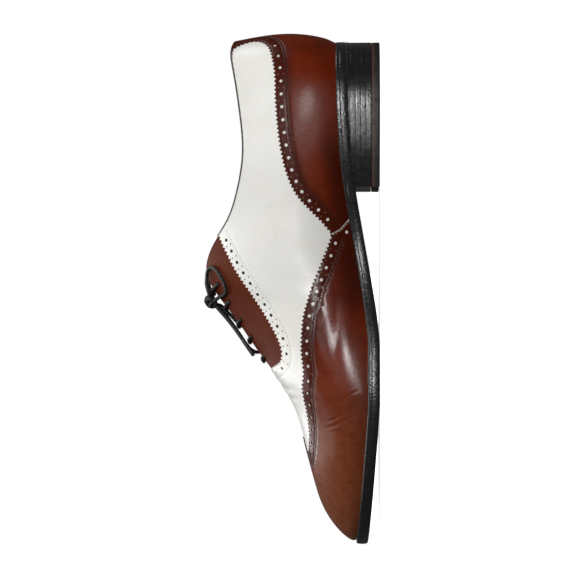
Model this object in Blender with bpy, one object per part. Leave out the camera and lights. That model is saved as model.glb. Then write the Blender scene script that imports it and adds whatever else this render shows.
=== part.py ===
"""Wingtip oxford, a right shoe, as separate pieces at real size.

Frame: +Y from heel to toe, +X to the wearer's right (the outer side), +Z up,
origin under the middle of the shoe on the floor. Sizes below are millimetres.
The wall of the upper is made of ribs. Each rib starts at the foot of the wall on
the welt, runs up the side and ends at the collar, at the edge of the throat or,
further forward, on the ridge of the vamp, where the two sides meet.
"""

import math
from collections import namedtuple

import bmesh
import bpy
import numpy as np

MM = 0.001

# Driving sizes
LENGTH = 306.0          # back of the sole to its tip
BALL_WIDTH = 102.0      # widest part of the sole
INSTEP_HEIGHT = 103.7   # floor to the top corner of the facings
WALL = 2.2              # upper leather and lining together
OUTSOLE = 4.6
WELT = 1.9
GAP = 0.3               # between pieces that meet
INSOLE_RISE = 2.4       # insole above the foot of the wall
TOP_LIFT = 4.8
HEEL_LENGTH = 88.5      # back of the sole to the heel breast
BREAST_HOLLOW = 3.0
LACE = 2.2              # lace diameter
TONGUE = 2.0
TONGUE_GAP = 0.6

# Sections from the back of the heel to the tip of the toe, for the sizes above.
# s: station of the sole's edge; sole_m, sole_l: its half widths, inner and outer;
# welt: how far the wall's foot stands inside it; lean_m, lean_l: outward lean of
# the wall at its foot, degrees; rise: how far that lean lasts; top_s, top_x,
# top_z: the rib's upper end; droop: fall of the wall there, degrees; reach: how
# far that fall lasts; follow: 1 where the rib leaves along the ridge's own slope.
Section = namedtuple(
    "Section",
    "name s sole_m sole_l welt lean_m lean_l rise top_s top_x top_z droop reach follow",
)
SECTIONS = [
    Section("heel_back", 4.1, 0.0, 0.0, 0.8, 19, 19, 24.0, 4.2, 0.0, 86.5, 79, 22.0, 0),
    Section("heel_round", 7.6, 15.0, 15.0, 0.8, 17, 17, 24.0, 6.6, 9.2, 87.2, 79, 22.0, 0),
    Section("heel_turn", 16.5, 26.3, 26.3, 0.9, 13, 13, 23.0, 14.0, 17.2, 87.6, 79, 22.0, 0),
    Section("heel_side", 31.0, 33.0, 33.0, 1.0, 10, 10, 22.0, 28.0, 23.2, 85.0, 79, 22.0, 0),
    Section("seat", 51.0, 34.5, 35.0, 1.2, 9, 8, 21.0, 49.0, 26.8, 81.7, 80, 22.0, 0),
    Section("breast", 76.0, 32.0, 34.5, 1.5, 14, 7, 22.0, 72.0, 27.8, 80.0, 80, 22.0, 0),
    Section("shank", 100.0, 26.5, 33.5, 2.0, 22, 7, 24.0, 93.0, 25.8, 83.2, 76, 24.0, 0),
    Section("waist", 121.0, 23.5, 34.0, 2.2, 27, 8, 27.0, 110.0, 20.8, 89.0, 66, 28.0, 0.1),
    Section("waist_front", 139.0, 25.0, 37.0, 2.6, 25, 8, 28.0, 124.0, 13.5, 98.0, 53, 31.0, 0.4),
    Section("facing_top", 155.0, 29.5, 42.5, 3.0, 20, 8, 28.0, 136.5, 6.0, 103.7, 43, 32.0, 0.8),
    Section("instep", 170.0, 35.5, 48.5, 3.4, 15, 8, 27.0, 150.0, 2.8, 101.3, 38, 32.0, 1),
    Section("lacing", 186.0, 41.2, 53.2, 3.8, 11, 7, 25.0, 169.0, 2.2, 87.6, 30, 30.0, 1),
    Section("joint_rear", 203.0, 45.0, 56.0, 4.0, 9, 6, 22.0, 187.0, 1.6, 75.0, 20, 28.0, 1),
    Section("joint", 218.0, 46.2, 55.8, 4.0, 8, 6, 19.0, 200.5, 0.0, 65.0, 0, 27.0, 1),
    Section("tread", 238.0, 44.2, 52.6, 3.9, 7, 6, 15.5, 221.0, 0.0, 51.8, 0, 26.0, 1),
    Section("vamp", 257.0, 40.2, 47.0, 3.8, 6, 5, 13.0, 240.5, 0.0, 45.1, 0, 25.0, 1),
    Section("toe_rear", 274.0, 34.2, 39.6, 3.6, 5, 5, 11.4, 256.0, 0.0, 41.1, 0, 22.0, 1),
    Section("toe", 288.5, 26.0, 29.8, 3.4, 4, 4, 8.8, 266.0, 0.0, 38.4, 0, 19.0, 1),
    Section("toe_turn", 300.0, 14.8, 16.4, 3.2, 3, 3, 6.2, 272.0, 0.0, 36.7, 0, 18.0, 1),
    Section("toe_tip", 306.0, 0.0, 0.0, 3.0, 3, 3, 5.0, 274.0, 0.0, 36.1, 0, 18.0, 1),
]
THROAT = 13             # the section where the throat ends and the ridge begins
TIP = len(SECTIONS) - 1

# Underside of the outsole along the shoe: heel seat, arch, flat tread, toe spring.
Under = namedtuple("Under", "s z")
UNDERSIDE = [
    Under(4, 19.2), Under(30, 18.9), Under(51, 18.2), Under(71, 16.9), Under(92, 14.4),
    Under(118, 10.0), Under(150, 4.4), Under(170, 1.4), Under(186, 0.0), Under(214, 0.0),
    Under(231, 0.8), Under(250, 2.2), Under(270, 3.7), Under(288, 5.2), Under(306, 6.9),
]

# Lace: each pair of eyelets by its station along the throat, the station where its
# bar crosses the middle and its distance from the facing's edge, then the runs of
# the bow. A run's points give the station, the distance across from the middle of
# the throat along the leather (inner side negative) and the height of the lace's
# middle above it.
Eyelet = namedtuple("Eyelet", "s middle inset")
EYELETS = [
    Eyelet(191.2, 195.2, 5.0), Eyelet(179.0, 184.0, 6.0), Eyelet(168.2, 174.6, 7.4), Eyelet(157.0, 164.6, 8.8), Eyelet(146.0, 154.6, 8.8),
]
Run = namedtuple("Run", "s across up")
KNOT_SIZE = (11.0, 9.0, 7.0)
KNOT_S = 156.5
LOOP_INNER = [
    Run(151.6, -3.4, 4.4), Run(147.6, -4.0, 3.1), Run(143.6, -6.0, 1.9), Run(139.8, -8.2, 1.6),
    Run(137.0, -11.4, 1.6), Run(136.6, -15.6, 1.6), Run(138.8, -19.0, 1.6), Run(142.8, -20.4, 1.6),
    Run(147.0, -18.8, 1.6), Run(150.4, -15.0, 1.6), Run(152.6, -11.2, 1.8), Run(153.9, -8.6, 2.5), Run(155.2, -6.4, 3.5),
]
LOOP_FRONT = [
    Run(160.6, 5.8, 4.6), Run(164.4, 6.8, 4.2), Run(169.0, 8.6, 4.1), Run(172.8, 10.3, 2.9), Run(176.6, 12.0, 1.9),
    Run(180.9, 13.7, 1.6), Run(182.9, 13.3, 1.6), Run(184.9, 12.0, 1.6), Run(186.7, 10.1, 1.65), Run(188.0, 7.8, 1.85),
    Run(188.6, 5.5, 2.2), Run(188.4, 3.6, 2.75), Run(187.4, 2.3, 3.3), Run(185.9, 1.9, 3.8), Run(181.8, 1.9, 4.2),
    Run(176.6, 2.1, 4.2), Run(170.6, 2.4, 4.3), Run(164.6, 2.8, 4.6), Run(160.8, 2.8, 5.0),
]
END_FRONT = [
    Run(160.4, -0.4, 5.2), Run(164.6, -0.5, 4.7), Run(171.0, -0.7, 4.2), Run(178.0, -0.9, 4.0),
    Run(184.0, -1.1, 3.9), Run(190.0, -1.4, 3.9),
]
END_OUTER = [
    Run(151.4, 4.2, 4.4), Run(147.6, 4.9, 3.4), Run(143.6, 6.4, 2.1), Run(139.9, 9.4, 1.6),
    Run(137.2, 13.6, 1.6), Run(135.7, 18.4, 1.6), Run(135.2, 23.6, 1.6), Run(135.6, 30.4, 1.6),
]


# Curves
def closed_spline(values):
    """A smooth closed curve through values at 0, 1, 2 and so on."""
    y = np.asarray(values, float)
    n = len(y)
    a = 4 * np.eye(n) + np.roll(np.eye(n), 1, 1) + np.roll(np.eye(n), -1, 1)
    m = np.linalg.solve(a, 6 * (np.roll(y, -1) - 2 * y + np.roll(y, 1)))

    def at(t):
        t = np.asarray(t, float) % n
        i = np.minimum(t.astype(int), n - 1)
        j, f = (i + 1) % n, t - i
        g = 1 - f
        return g * y[i] + f * y[j] + ((g**3 - g) * m[i] + (f**3 - f) * m[j]) / 6

    return at


def steady_spline(knots, values):
    """A curve through the points that never swings past one of them."""
    x, y = np.asarray(knots, float), np.asarray(values, float)
    h = np.diff(x)
    d = np.diff(y) / h
    m = np.zeros_like(y)
    m[0], m[-1] = d[0], d[-1]
    for i in range(1, len(y) - 1):
        if d[i - 1] * d[i] > 0:
            a, b = 2 * h[i] + h[i - 1], h[i] + 2 * h[i - 1]
            m[i] = (a + b) / (a / d[i - 1] + b / d[i])

    def at(q):
        q = np.clip(np.asarray(q, float), x[0], x[-1])
        i = np.clip(np.searchsorted(x, q, side="right") - 1, 0, len(h) - 1)
        t = (q - x[i]) / h[i]
        return (
            y[i] * (1 + 2 * t) * (1 - t) ** 2
            + h[i] * m[i] * t * (1 - t) ** 2
            + y[i + 1] * t * t * (3 - 2 * t)
            + h[i] * m[i + 1] * t * t * (t - 1)
        )

    return at


def around(inner, outer):
    """A column of the table as a closed curve: outer side forward, inner side back."""
    return closed_spline(list(outer) + list(inner)[-2:0:-1])


def column(name):
    return np.array([getattr(row, name) for row in SECTIONS], float)


# The shoe's functions of the rib number r, from 0 at the heel to TIP, on a side:
# -1 inner, +1 outer.
EDGE_S = around(column("s"), column("s"))
EDGE_X = around(-column("sole_m"), column("sole_l"))
WELT_IN = around(column("welt"), column("welt"))
LEAN = around(column("lean_m"), column("lean_l"))
RISE = around(column("rise"), column("rise"))
TOP_S = around(column("top_s"), column("top_s"))
TOP_Z = around(column("top_z"), column("top_z"))
REACH = around(column("reach"), column("reach"))
DROOP = steady_spline(range(-1, TIP + 1), [column("droop")[1], *column("droop")])
FOLLOW = steady_spline(range(TIP + 1), column("follow"))
TOP_X = steady_spline(range(-1, TIP + 1), [-column("top_x")[1], *column("top_x")])
UNDER_Z = steady_spline([u.s for u in UNDERSIDE], [u.z for u in UNDERSIDE])


def foot_z(s):
    """Height of the welt's top face, on which the wall stands."""
    return UNDER_Z(s) + OUTSOLE + GAP + WELT


def edge(side, r, inset=0.0):
    """Plan point (x, s) on the sole's edge, moved inwards, and the outward normal there."""
    t = np.asarray(r, float) * side
    step = 1e-3
    x, s = EDGE_X(t), EDGE_S(t)
    dx, ds = EDGE_X(t + step) - EDGE_X(t - step), EDGE_S(t + step) - EDGE_S(t - step)
    long = np.hypot(dx, ds)
    nx, ns = ds / long, -dx / long
    return x - inset * nx, s - inset * ns, nx, ns


def foot(side, r, inset=0.0):
    """Plan point at the foot of the wall, moved inwards."""
    return edge(side, r, WELT_IN(np.asarray(r, float) * side) + inset)


def rib(side, r):
    """The four control points of a rib, foot to top."""
    r = np.asarray(r, float)
    t = r * side
    bx, bs, nx, ns = foot(side, r)
    low = np.stack([bx, bs, foot_z(bs) + GAP], -1)
    lean, rise = np.radians(LEAN(t)), RISE(t)[..., None]
    out = np.stack([nx, ns, np.zeros_like(nx)], -1)
    up = np.array([0.0, 0.0, 1.0])
    first = low + rise * (np.sin(lean)[..., None] * out + np.cos(lean)[..., None] * up)
    width = np.where(r < THROAT, TOP_X(r), 0.0)
    top = np.stack([side * width, TOP_S(t), TOP_Z(t)], -1)
    step = 1e-3
    slope = (TOP_Z(t + step) - TOP_Z(t - step)) / np.where(
        np.abs(TOP_S(t + step) - TOP_S(t - step)) < 1e-9, 1e-9, TOP_S(t + step) - TOP_S(t - step)
    )
    slope = np.where(r > TIP - 1e-6, -0.285, slope)
    w = FOLLOW(r)
    to_foot = np.stack([bx - top[..., 0], bs - top[..., 1]], -1)
    to_foot /= np.linalg.norm(to_foot, axis=-1, keepdims=True) + 1e-9
    e = w[..., None] * to_foot + (1 - w)[..., None] * np.stack([nx, ns], -1)
    e /= np.linalg.norm(e, axis=-1, keepdims=True)
    droop = np.radians(np.where(r < THROAT, DROOP(r), 0.0))
    fall = np.stack(
        [
            np.cos(droop) * e[..., 0],
            np.cos(droop) * e[..., 1],
            -np.sin(droop) + w * np.cos(droop) * e[..., 1] * slope,
        ],
        -1,
    )
    fall /= np.linalg.norm(fall, axis=-1, keepdims=True)
    second = top + REACH(t)[..., None] * fall
    return low, first, second, top


def wall(side, r, v):
    """Outer surface of the upper: rib r of a side, v from 0 at the foot to 1 at the top."""
    r, v = np.broadcast_arrays(np.asarray(r, float), np.asarray(v, float))
    a, b, c, d = rib(side, r)
    v = v[..., None]
    return (1 - v) ** 3 * a + 3 * v * (1 - v) ** 2 * b + 3 * v * v * (1 - v) * c + v**3 * d


def wall_normal(side, r, v):
    """Outward normal of that surface."""
    r, v = np.broadcast_arrays(np.asarray(r, float), np.asarray(v, float))
    middle = (r < 1e-6) | (r > TIP - 1e-6) | ((r >= THROAT) & (v > 1 - 1e-6))
    v = np.where(r > THROAT, np.minimum(v, 0.985), v)
    step = 2e-3
    r0, r1 = np.clip(r - step, 0, TIP), np.clip(r + step, 0, TIP)
    v0, v1 = np.clip(v - step, 0, 1), np.clip(v + step, 0, 1)
    along = wall(side, r1, v) - wall(side, r0, v)
    upward = wall(side, r, v1) - wall(side, r, v0)
    n = side * np.cross(along, upward)
    n /= np.linalg.norm(n, axis=-1, keepdims=True) + 1e-12
    n[..., 0] = np.where(middle, 0.0, n[..., 0])
    return n / np.linalg.norm(n, axis=-1, keepdims=True)


def rib_at(station):
    """The rib whose top is at this station of the throat or ridge."""
    low, high = 6.0, float(TIP)
    for _ in range(50):
        mid = (low + high) / 2
        low, high = (mid, high) if TOP_S(mid) < station else (low, mid)
    return (low + high) / 2


def down_the_rib(side, r, distance):
    """The v of the point this far down the leather from the rib's top."""
    v = np.linspace(1, 0, 400)
    p = wall(side, np.full_like(v, r), v)
    run = np.concatenate([[0], np.cumsum(np.linalg.norm(np.diff(p, axis=0), axis=1))])
    return float(np.interp(distance, run, v))


# Where the origin is: the middle of the pieces' box, on the floor.
_r = np.linspace(0, TIP, 400)
MIDDLE_X = float(EDGE_X(_r).max() + EDGE_X(-_r).min()) / 2
MIDDLE_S = float(wall(1, 0.0, np.linspace(0, 1, 200))[:, 1].min() + EDGE_S(float(TIP))) / 2


def placed(points):
    """Shoe millimetres (x, s, z) to metres about the origin."""
    p = np.asarray(points, float)
    return (p - [MIDDLE_X, MIDDLE_S, 0.0]) * MM


# Solids
def material(name, colour, roughness, metallic=0.0):
    made = bpy.data.materials.new(name)
    made.use_nodes = True
    shader = made.node_tree.nodes["Principled BSDF"]
    shader.inputs["Base Color"].default_value = (*colour, 1.0)
    shader.inputs["Roughness"].default_value = roughness
    shader.inputs["Metallic"].default_value = metallic
    return made


def add_mesh(name, points, faces, look, parent):
    mesh = bpy.data.meshes.new(name)
    bm = bmesh.new()
    verts = [bm.verts.new(p) for p in placed(points)]
    for f in faces:
        bm.faces.new([verts[i] for i in f])
    bmesh.ops.recalc_face_normals(bm, faces=bm.faces)
    bm.to_mesh(mesh)
    bm.free()
    mesh.shade_smooth()
    mesh.set_sharp_from_angle(angle=math.radians(35))
    return add_object(name, mesh, look, parent)


def add_object(name, data, look, parent):
    obj = bpy.data.objects.new(name, data)
    data.materials.append(look)
    bpy.context.scene.collection.objects.link(obj)
    obj.parent = parent
    return obj


def add_cord(name, points, look, parent, diameter=LACE):
    """A round cord along points, in shoe millimetres, with closed ends."""
    curve = bpy.data.curves.new(name, "CURVE")
    curve.dimensions = "3D"
    curve.bevel_depth = diameter / 2 * MM
    curve.bevel_resolution = 2
    curve.use_fill_caps = True
    spline = curve.splines.new("POLY")
    spline.points.add(len(points) - 1)
    for point, place in zip(spline.points, placed(points)):
        point.co = (*place, 1.0)
    return add_object(name, curve, look, parent)


def plate(name, rows, low, high, look, parent):
    """A closed solid between two heights over a plan grid. rows[i] is a list of (x, s)
    across the shoe; a row whose points are all one place is a single point."""
    points, faces, index = [], [], []
    for row in rows:
        single = np.ptp(np.asarray(row), axis=0).max() < 1e-6
        ids = []
        for x, s in row[:1] if single else row:
            ids.append((len(points), len(points) + 1))
            points += [(x, s, low(x, s)), (x, s, high(x, s))]
        index.append(ids * len(row) if single else ids)

    def face(*ids):
        kept = [i for k, i in enumerate(ids) if i != ids[k - 1]]
        if len(kept) > 2:
            faces.append(kept)

    across = len(rows[0])
    for a, b in zip(index, index[1:]):
        for j in range(across - 1):
            face(a[j][0], a[j + 1][0], b[j + 1][0], b[j][0])
            face(a[j][1], b[j][1], b[j + 1][1], a[j + 1][1])
        for j in (0, across - 1):
            face(a[j][0], b[j][0], b[j][1], a[j][1])
    for end in (index[0], index[-1]):
        for j in range(across - 1):
            if end[j] != end[j + 1]:
                face(end[j][0], end[j][1], end[j + 1][1], end[j + 1][0])
    return add_mesh(name, points, faces, look, parent)


def ring(name, inside, outside, low, high, look, parent):
    """A closed band between two closed plan outlines of equal count."""
    n = len(outside)
    points = []
    for (xi, si), (xo, so) in zip(inside, outside):
        points += [
            (xi, si, low(xi, si)), (xi, si, high(xi, si)),
            (xo, so, low(xo, so)), (xo, so, high(xo, so)),
        ]
    faces = []
    for i in range(n):
        a, b = 4 * i, 4 * ((i + 1) % n)
        for p, q in ((0, 1), (1, 3), (3, 2), (2, 0)):
            faces.append((a + p, a + q, b + q, b + p))
    return add_mesh(name, points, faces, look, parent)


# Rib numbers for the meshes, closer together round the heel and the toe.
def rib_steps(fine):
    steps = [i / fine for i in range(TIP * fine + 1)]
    return np.array(steps)


def upper_mesh(look, parent, fine=2, rise_steps=9):
    steps = rib_steps(fine)
    v = np.linspace(0, 1, rise_steps + 1)
    points, faces, number = [], [], {}

    def vertex(side, i, j, layer):
        middle = i in (0, len(steps) - 1) or (j == rise_steps and steps[i] >= THROAT)
        key = (0 if middle else side, i, j, layer)
        if key not in number:
            p = wall(side, steps[i], v[j])
            if layer:
                p = p - WALL * wall_normal(side, steps[i], v[j])
            if middle:
                p = np.array([0.0, p[1], p[2]])
            number[key] = len(points)
            points.append(p)
        return number[key]

    def face(*ids):
        kept = [i for k, i in enumerate(ids) if i != ids[k - 1]]
        faces.append(kept)

    for side in (-1, 1):
        for i in range(len(steps) - 1):
            for j in range(rise_steps):
                for layer in (0, 1):
                    face(
                        vertex(side, i, j, layer), vertex(side, i + 1, j, layer),
                        vertex(side, i + 1, j + 1, layer), vertex(side, i, j + 1, layer),
                    )
            rims = [0] + ([rise_steps] if steps[i] < THROAT - 1e-6 else [])
            for j in rims:
                face(
                    vertex(side, i, j, 0), vertex(side, i + 1, j, 0),
                    vertex(side, i + 1, j, 1), vertex(side, i, j, 1),
                )
    return add_mesh("upper", points, faces, look, parent)


def under_throat(r, across, depth):
    """A point beneath the throat: across is the distance over the middle, depth below the leather."""
    side = -1 if across < 0 else 1
    start = float(TOP_X(r)) if r < THROAT else 0.0
    flat = 7.0
    away = abs(across)
    v = down_the_rib(side, r, max(away, flat) - start)
    p = wall(side, r, v) - depth * wall_normal(side, r, v)
    if away < flat:
        q = wall(-side, r, down_the_rib(-side, r, flat - start))
        q = q - depth * wall_normal(-side, r, down_the_rib(-side, r, flat - start))
        mid = (p + q) / 2 + np.array([0.0, 0.0, 0.30 * flat * math.tan(math.radians(float(DROOP(r))) if r < THROAT else 0.0)])
        f = away / flat
        p = mid * (1 - f * f) + p * f * f
    return p


def tongue_mesh(look, parent):
    """A shaped strip close under the throat, from the vamp to just short of the facings' top."""
    first, last = rib_at(132.6), rib_at(209.0)
    rows = np.linspace(first, last, 13)
    across = np.array([-1.0, -0.8, -0.6, -0.4, -0.22, 0.0, 0.22, 0.4, 0.6, 0.8, 1.0])
    points, faces = [], []
    for k, r in enumerate(rows):
        half = 27.0 - 7.0 * k / (len(rows) - 1)
        for a in across:
            for depth in (WALL + TONGUE_GAP, WALL + TONGUE_GAP + TONGUE):
                points.append(under_throat(r, a * half, depth))
    n = len(across)

    def at(i, j, layer):
        return (i * n + j) * 2 + layer

    for i in range(len(rows) - 1):
        for j in range(n - 1):
            for layer in (0, 1):
                faces.append((at(i, j, layer), at(i + 1, j, layer), at(i + 1, j + 1, layer), at(i, j + 1, layer)))
        for j in (0, n - 1):
            faces.append((at(i, j, 0), at(i + 1, j, 0), at(i + 1, j, 1), at(i, j, 1)))
    for i in (0, len(rows) - 1):
        for j in range(n - 1):
            faces.append((at(i, j, 0), at(i, j + 1, 0), at(i, j + 1, 1), at(i, j, 1)))
    return add_mesh("tongue", points, faces, look, parent)


def over_throat(station, across, up):
    """A point above the lacing: station along the throat, distance across, height above the leather."""
    r = rib_at(station)
    side = -1 if across < 0 else 1
    start = float(TOP_X(r))
    near = start + 1.2
    away = abs(across)

    def above(k, distance):
        v = down_the_rib(k, r, distance - start)
        return wall(k, r, v) + up * wall_normal(k, r, v)

    if away >= near:
        return above(side, away)
    p, q = above(side, near), above(-side, near)
    mid = (p + q) / 2 + np.array([0.0, 0.0, 0.45 * near * math.tan(math.radians(float(DROOP(r))))])
    f = away / near
    return mid + (p - mid) * np.array([f, f * f, f * f])


def smooth_run(points, step):
    """Points a step apart on a smooth curve through the given ones."""
    p = np.asarray(points, float)
    t = np.concatenate([[0], np.cumsum(np.sqrt(np.linalg.norm(np.diff(p, axis=0), axis=1)))])
    m = np.gradient(p, t, axis=0)
    fine = []
    for i in range(len(p) - 1):
        h = t[i + 1] - t[i]
        for u in np.linspace(0, 1, 24, endpoint=False):
            fine.append(
                (2 * u**3 - 3 * u**2 + 1) * p[i] + (u**3 - 2 * u**2 + u) * h * m[i]
                + (3 * u**2 - 2 * u**3) * p[i + 1] + (u**3 - u**2) * h * m[i + 1]
            )
    fine = np.array(fine + [p[-1]])
    run = np.concatenate([[0], np.cumsum(np.linalg.norm(np.diff(fine, axis=0), axis=1))])
    at = np.linspace(0, run[-1], max(3, round(run[-1] / step) + 1))
    return np.stack([np.interp(at, run, fine[:, k]) for k in range(3)], -1)


def knot_frame():
    """Middle of the knot on the top bar, and its axes across, ahead and up."""
    centre = over_throat(KNOT_S, 0.0, LACE + 0.4 + GAP + KNOT_SIZE[2] / 2)
    ahead = over_throat(KNOT_S + 1.0, 0.0, 0.0) - over_throat(KNOT_S - 1.0, 0.0, 0.0)
    ahead /= np.linalg.norm(ahead)
    across = np.array([1.0, 0.0, 0.0])
    return centre, np.stack([across, ahead, np.cross(across, ahead)])


def bow_run(runs, step=3.6):
    """A run of the bow, cut off where it meets the knot."""
    fine = smooth_run([over_throat(p.s, p.across, p.up) for p in runs], 0.25)
    centre, axes = knot_frame()
    size = np.array(KNOT_SIZE) / 2 + GAP + 0.35 * LACE
    clear = np.linalg.norm((fine - centre) @ axes.T / size, axis=1) > 1
    return smooth_run(fine[clear][:: round(step / 0.25)], step)


def eyelet_across(eyelet):
    """How far an eyelet is from the middle of the throat."""
    return float(TOP_X(rib_at(eyelet.s))) + eyelet.inset


def lace_bar(eyelet):
    """One bar of the lacing, from eyelet to eyelet over the edges of the facings."""
    up = LACE / 2 + 0.4
    far = eyelet_across(eyelet)
    path = []
    for share in (-1.0, -0.7, -0.4, 0.0, 0.4, 0.7, 1.0):
        station = eyelet.middle + (eyelet.s - eyelet.middle) * abs(share)
        path.append(over_throat(station, share * far, up))
    return smooth_run(path, 2.2)


def knot_mesh(look, parent):
    """The knot of the bow, a rounded lump on the top bar."""
    centre, (across, ahead, up) = knot_frame()
    points, faces, rings, sides = [], [], 7, 12
    points.append(centre - up * KNOT_SIZE[2] / 2)
    for i in range(1, rings):
        a = math.pi * i / rings
        for k in range(sides):
            b = 2 * math.pi * k / sides
            points.append(
                centre
                + across * KNOT_SIZE[0] / 2 * math.sin(a) * math.cos(b)
                + ahead * KNOT_SIZE[1] / 2 * math.sin(a) * math.sin(b)
                - up * KNOT_SIZE[2] / 2 * math.cos(a)
            )
    points.append(centre + up * KNOT_SIZE[2] / 2)
    last = len(points) - 1
    for k in range(sides):
        j = (k + 1) % sides
        faces.append((0, 1 + j, 1 + k))
        faces.append((last, last - sides + k, last - sides + j))
        for i in range(rings - 2):
            a = 1 + i * sides
            faces.append((a + k, a + j, a + sides + j, a + sides + k))
    return add_mesh("lace_knot", points, faces, look, parent)


def outline(side_steps, place):
    """A closed plan outline, outer side forward and inner side back."""
    outer = [place(1, r)[:2] for r in side_steps]
    inner = [place(-1, r)[:2] for r in side_steps]
    return [(float(x), float(s)) for x, s in outer + inner[-2:0:-1]]


def crossings(side_steps, place, across=2):
    """Rows of plan points from the inner edge to the outer edge."""
    rows = []
    for r in side_steps:
        a, b = np.array(place(-1, r)[:2]), np.array(place(1, r)[:2])
        rows.append([tuple(a + (b - a) * f) for f in np.linspace(0, 1, across)])
    return rows


def heel_rows(inset, across=7):
    """Rows across the heel, the last one along its hollow breast."""
    steps = [r for r in rib_steps(4) if edge(1, r)[1] < SECTIONS[0].s + HEEL_LENGTH - 7]
    rows = crossings(steps, lambda side, r: edge(side, r, inset), across)
    front = SECTIONS[0].s + HEEL_LENGTH
    ends = []
    for side in (-1, 1):
        low, high = 0.0, 9.0
        for _ in range(40):
            mid = (low + high) / 2
            low, high = (mid, high) if edge(side, mid, inset)[1] < front else (low, mid)
        ends.append(float(edge(side, low, inset)[0]))
    f = np.linspace(-1, 1, across)
    rows.append([(ends[0] + (ends[1] - ends[0]) * (k + 1) / 2, front - BREAST_HOLLOW * (1 - k * k)) for k in f])
    return rows


def build():
    for obj in list(bpy.data.objects):
        bpy.data.objects.remove(obj, do_unlink=True)
    shoe = bpy.data.objects.new("shoe", None)
    bpy.context.scene.collection.objects.link(shoe)

    black_edge = material("dressed_edge", (0.010, 0.009, 0.009), 0.32)
    black_heel = material("heel_leather", (0.012, 0.010, 0.010), 0.34)
    rubber = material("top_lift_rubber", (0.018, 0.015, 0.014), 0.55)
    calf = material("upper_calf", (0.74, 0.71, 0.64), 0.38)
    brown = material("tongue_calf", (0.115, 0.026, 0.010), 0.36)
    tan = material("insole_leather", (0.46, 0.30, 0.16), 0.55)
    cotton = material("lace_cotton", (0.010, 0.010, 0.010), 0.60)

    steps = rib_steps(2)
    under = lambda x, s: float(UNDER_Z(s))
    plate(
        "outsole", crossings(steps, edge),
        under, lambda x, s: under(x, s) + OUTSOLE, black_edge, shoe,
    )
    ring(
        "welt",
        outline(steps, lambda side, r: foot(side, r, WALL + 0.4)),
        outline(steps, lambda side, r: edge(side, r, 0.2)),
        lambda x, s: under(x, s) + OUTSOLE + GAP, lambda x, s: float(foot_z(s)), black_edge, shoe,
    )
    plate(
        "heel_stack", heel_rows(0.5),
        lambda x, s: TOP_LIFT + GAP, lambda x, s: under(x, s) - GAP, black_heel, shoe,
    )
    plate(
        "heel_top_lift", heel_rows(0.3),
        lambda x, s: 0.0, lambda x, s: TOP_LIFT, rubber, shoe,
    )
    plate(
        "insole", crossings(steps, lambda side, r: foot(side, r, WALL + 1.2), 3),
        lambda x, s: under(x, s) + OUTSOLE + GAP, lambda x, s: float(foot_z(s)) + INSOLE_RISE, tan, shoe,
    )
    upper_mesh(calf, shoe)
    tongue_mesh(brown, shoe)
    for k, eyelet in enumerate(EYELETS):
        add_cord(f"lace_bar_{k + 1}", lace_bar(eyelet), cotton, shoe)
    knot_mesh(cotton, shoe)
    add_cord("lace_loop_inner", bow_run(LOOP_INNER), cotton, shoe)
    add_cord("lace_loop_front", bow_run(LOOP_FRONT), cotton, shoe)
    add_cord("lace_end_front", bow_run(END_FRONT), cotton, shoe)
    add_cord("lace_end_outer", bow_run(END_OUTER), cotton, shoe)


build()
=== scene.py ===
"""Looks of the wingtip oxford, a right shoe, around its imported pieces.

Everything is worked out in the shoe's own millimetres: x across (outer side
positive), s from the back of the heel to the toe, z up, and placed in metres.
"""

import math
from collections import namedtuple

import bpy
import numpy as np
from mathutils import Matrix, Vector, kdtree
from mathutils.geometry import delaunay_2d_cdt


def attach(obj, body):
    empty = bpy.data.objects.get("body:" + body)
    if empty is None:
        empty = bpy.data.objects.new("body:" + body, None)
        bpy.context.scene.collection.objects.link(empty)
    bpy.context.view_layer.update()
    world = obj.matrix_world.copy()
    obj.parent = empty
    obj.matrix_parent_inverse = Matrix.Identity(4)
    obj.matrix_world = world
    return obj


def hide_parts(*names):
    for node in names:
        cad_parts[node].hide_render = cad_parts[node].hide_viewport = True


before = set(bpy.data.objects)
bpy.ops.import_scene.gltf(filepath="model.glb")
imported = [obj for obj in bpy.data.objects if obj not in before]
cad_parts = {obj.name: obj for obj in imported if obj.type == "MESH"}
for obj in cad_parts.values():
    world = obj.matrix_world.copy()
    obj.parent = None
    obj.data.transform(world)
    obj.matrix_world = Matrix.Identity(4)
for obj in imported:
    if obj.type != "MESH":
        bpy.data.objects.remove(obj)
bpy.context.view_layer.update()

MM = 0.001

# Driving sizes
LENGTH = 306.0          # back of the sole to its tip
BALL_WIDTH = 102.0      # widest part of the sole
INSTEP_HEIGHT = 103.7   # floor to the top corner of the facings
WALL = 2.2              # upper leather and lining together
OUTSOLE = 4.6
WELT = 1.9
GAP = 0.3               # between pieces that meet
INSOLE_RISE = 2.4       # insole above the foot of the wall
TOP_LIFT = 4.8
HEEL_LENGTH = 88.5      # back of the sole to the heel breast
BREAST_HOLLOW = 3.0
LACE = 2.2              # lace diameter
TONGUE = 2.0
TONGUE_GAP = 0.6

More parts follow.
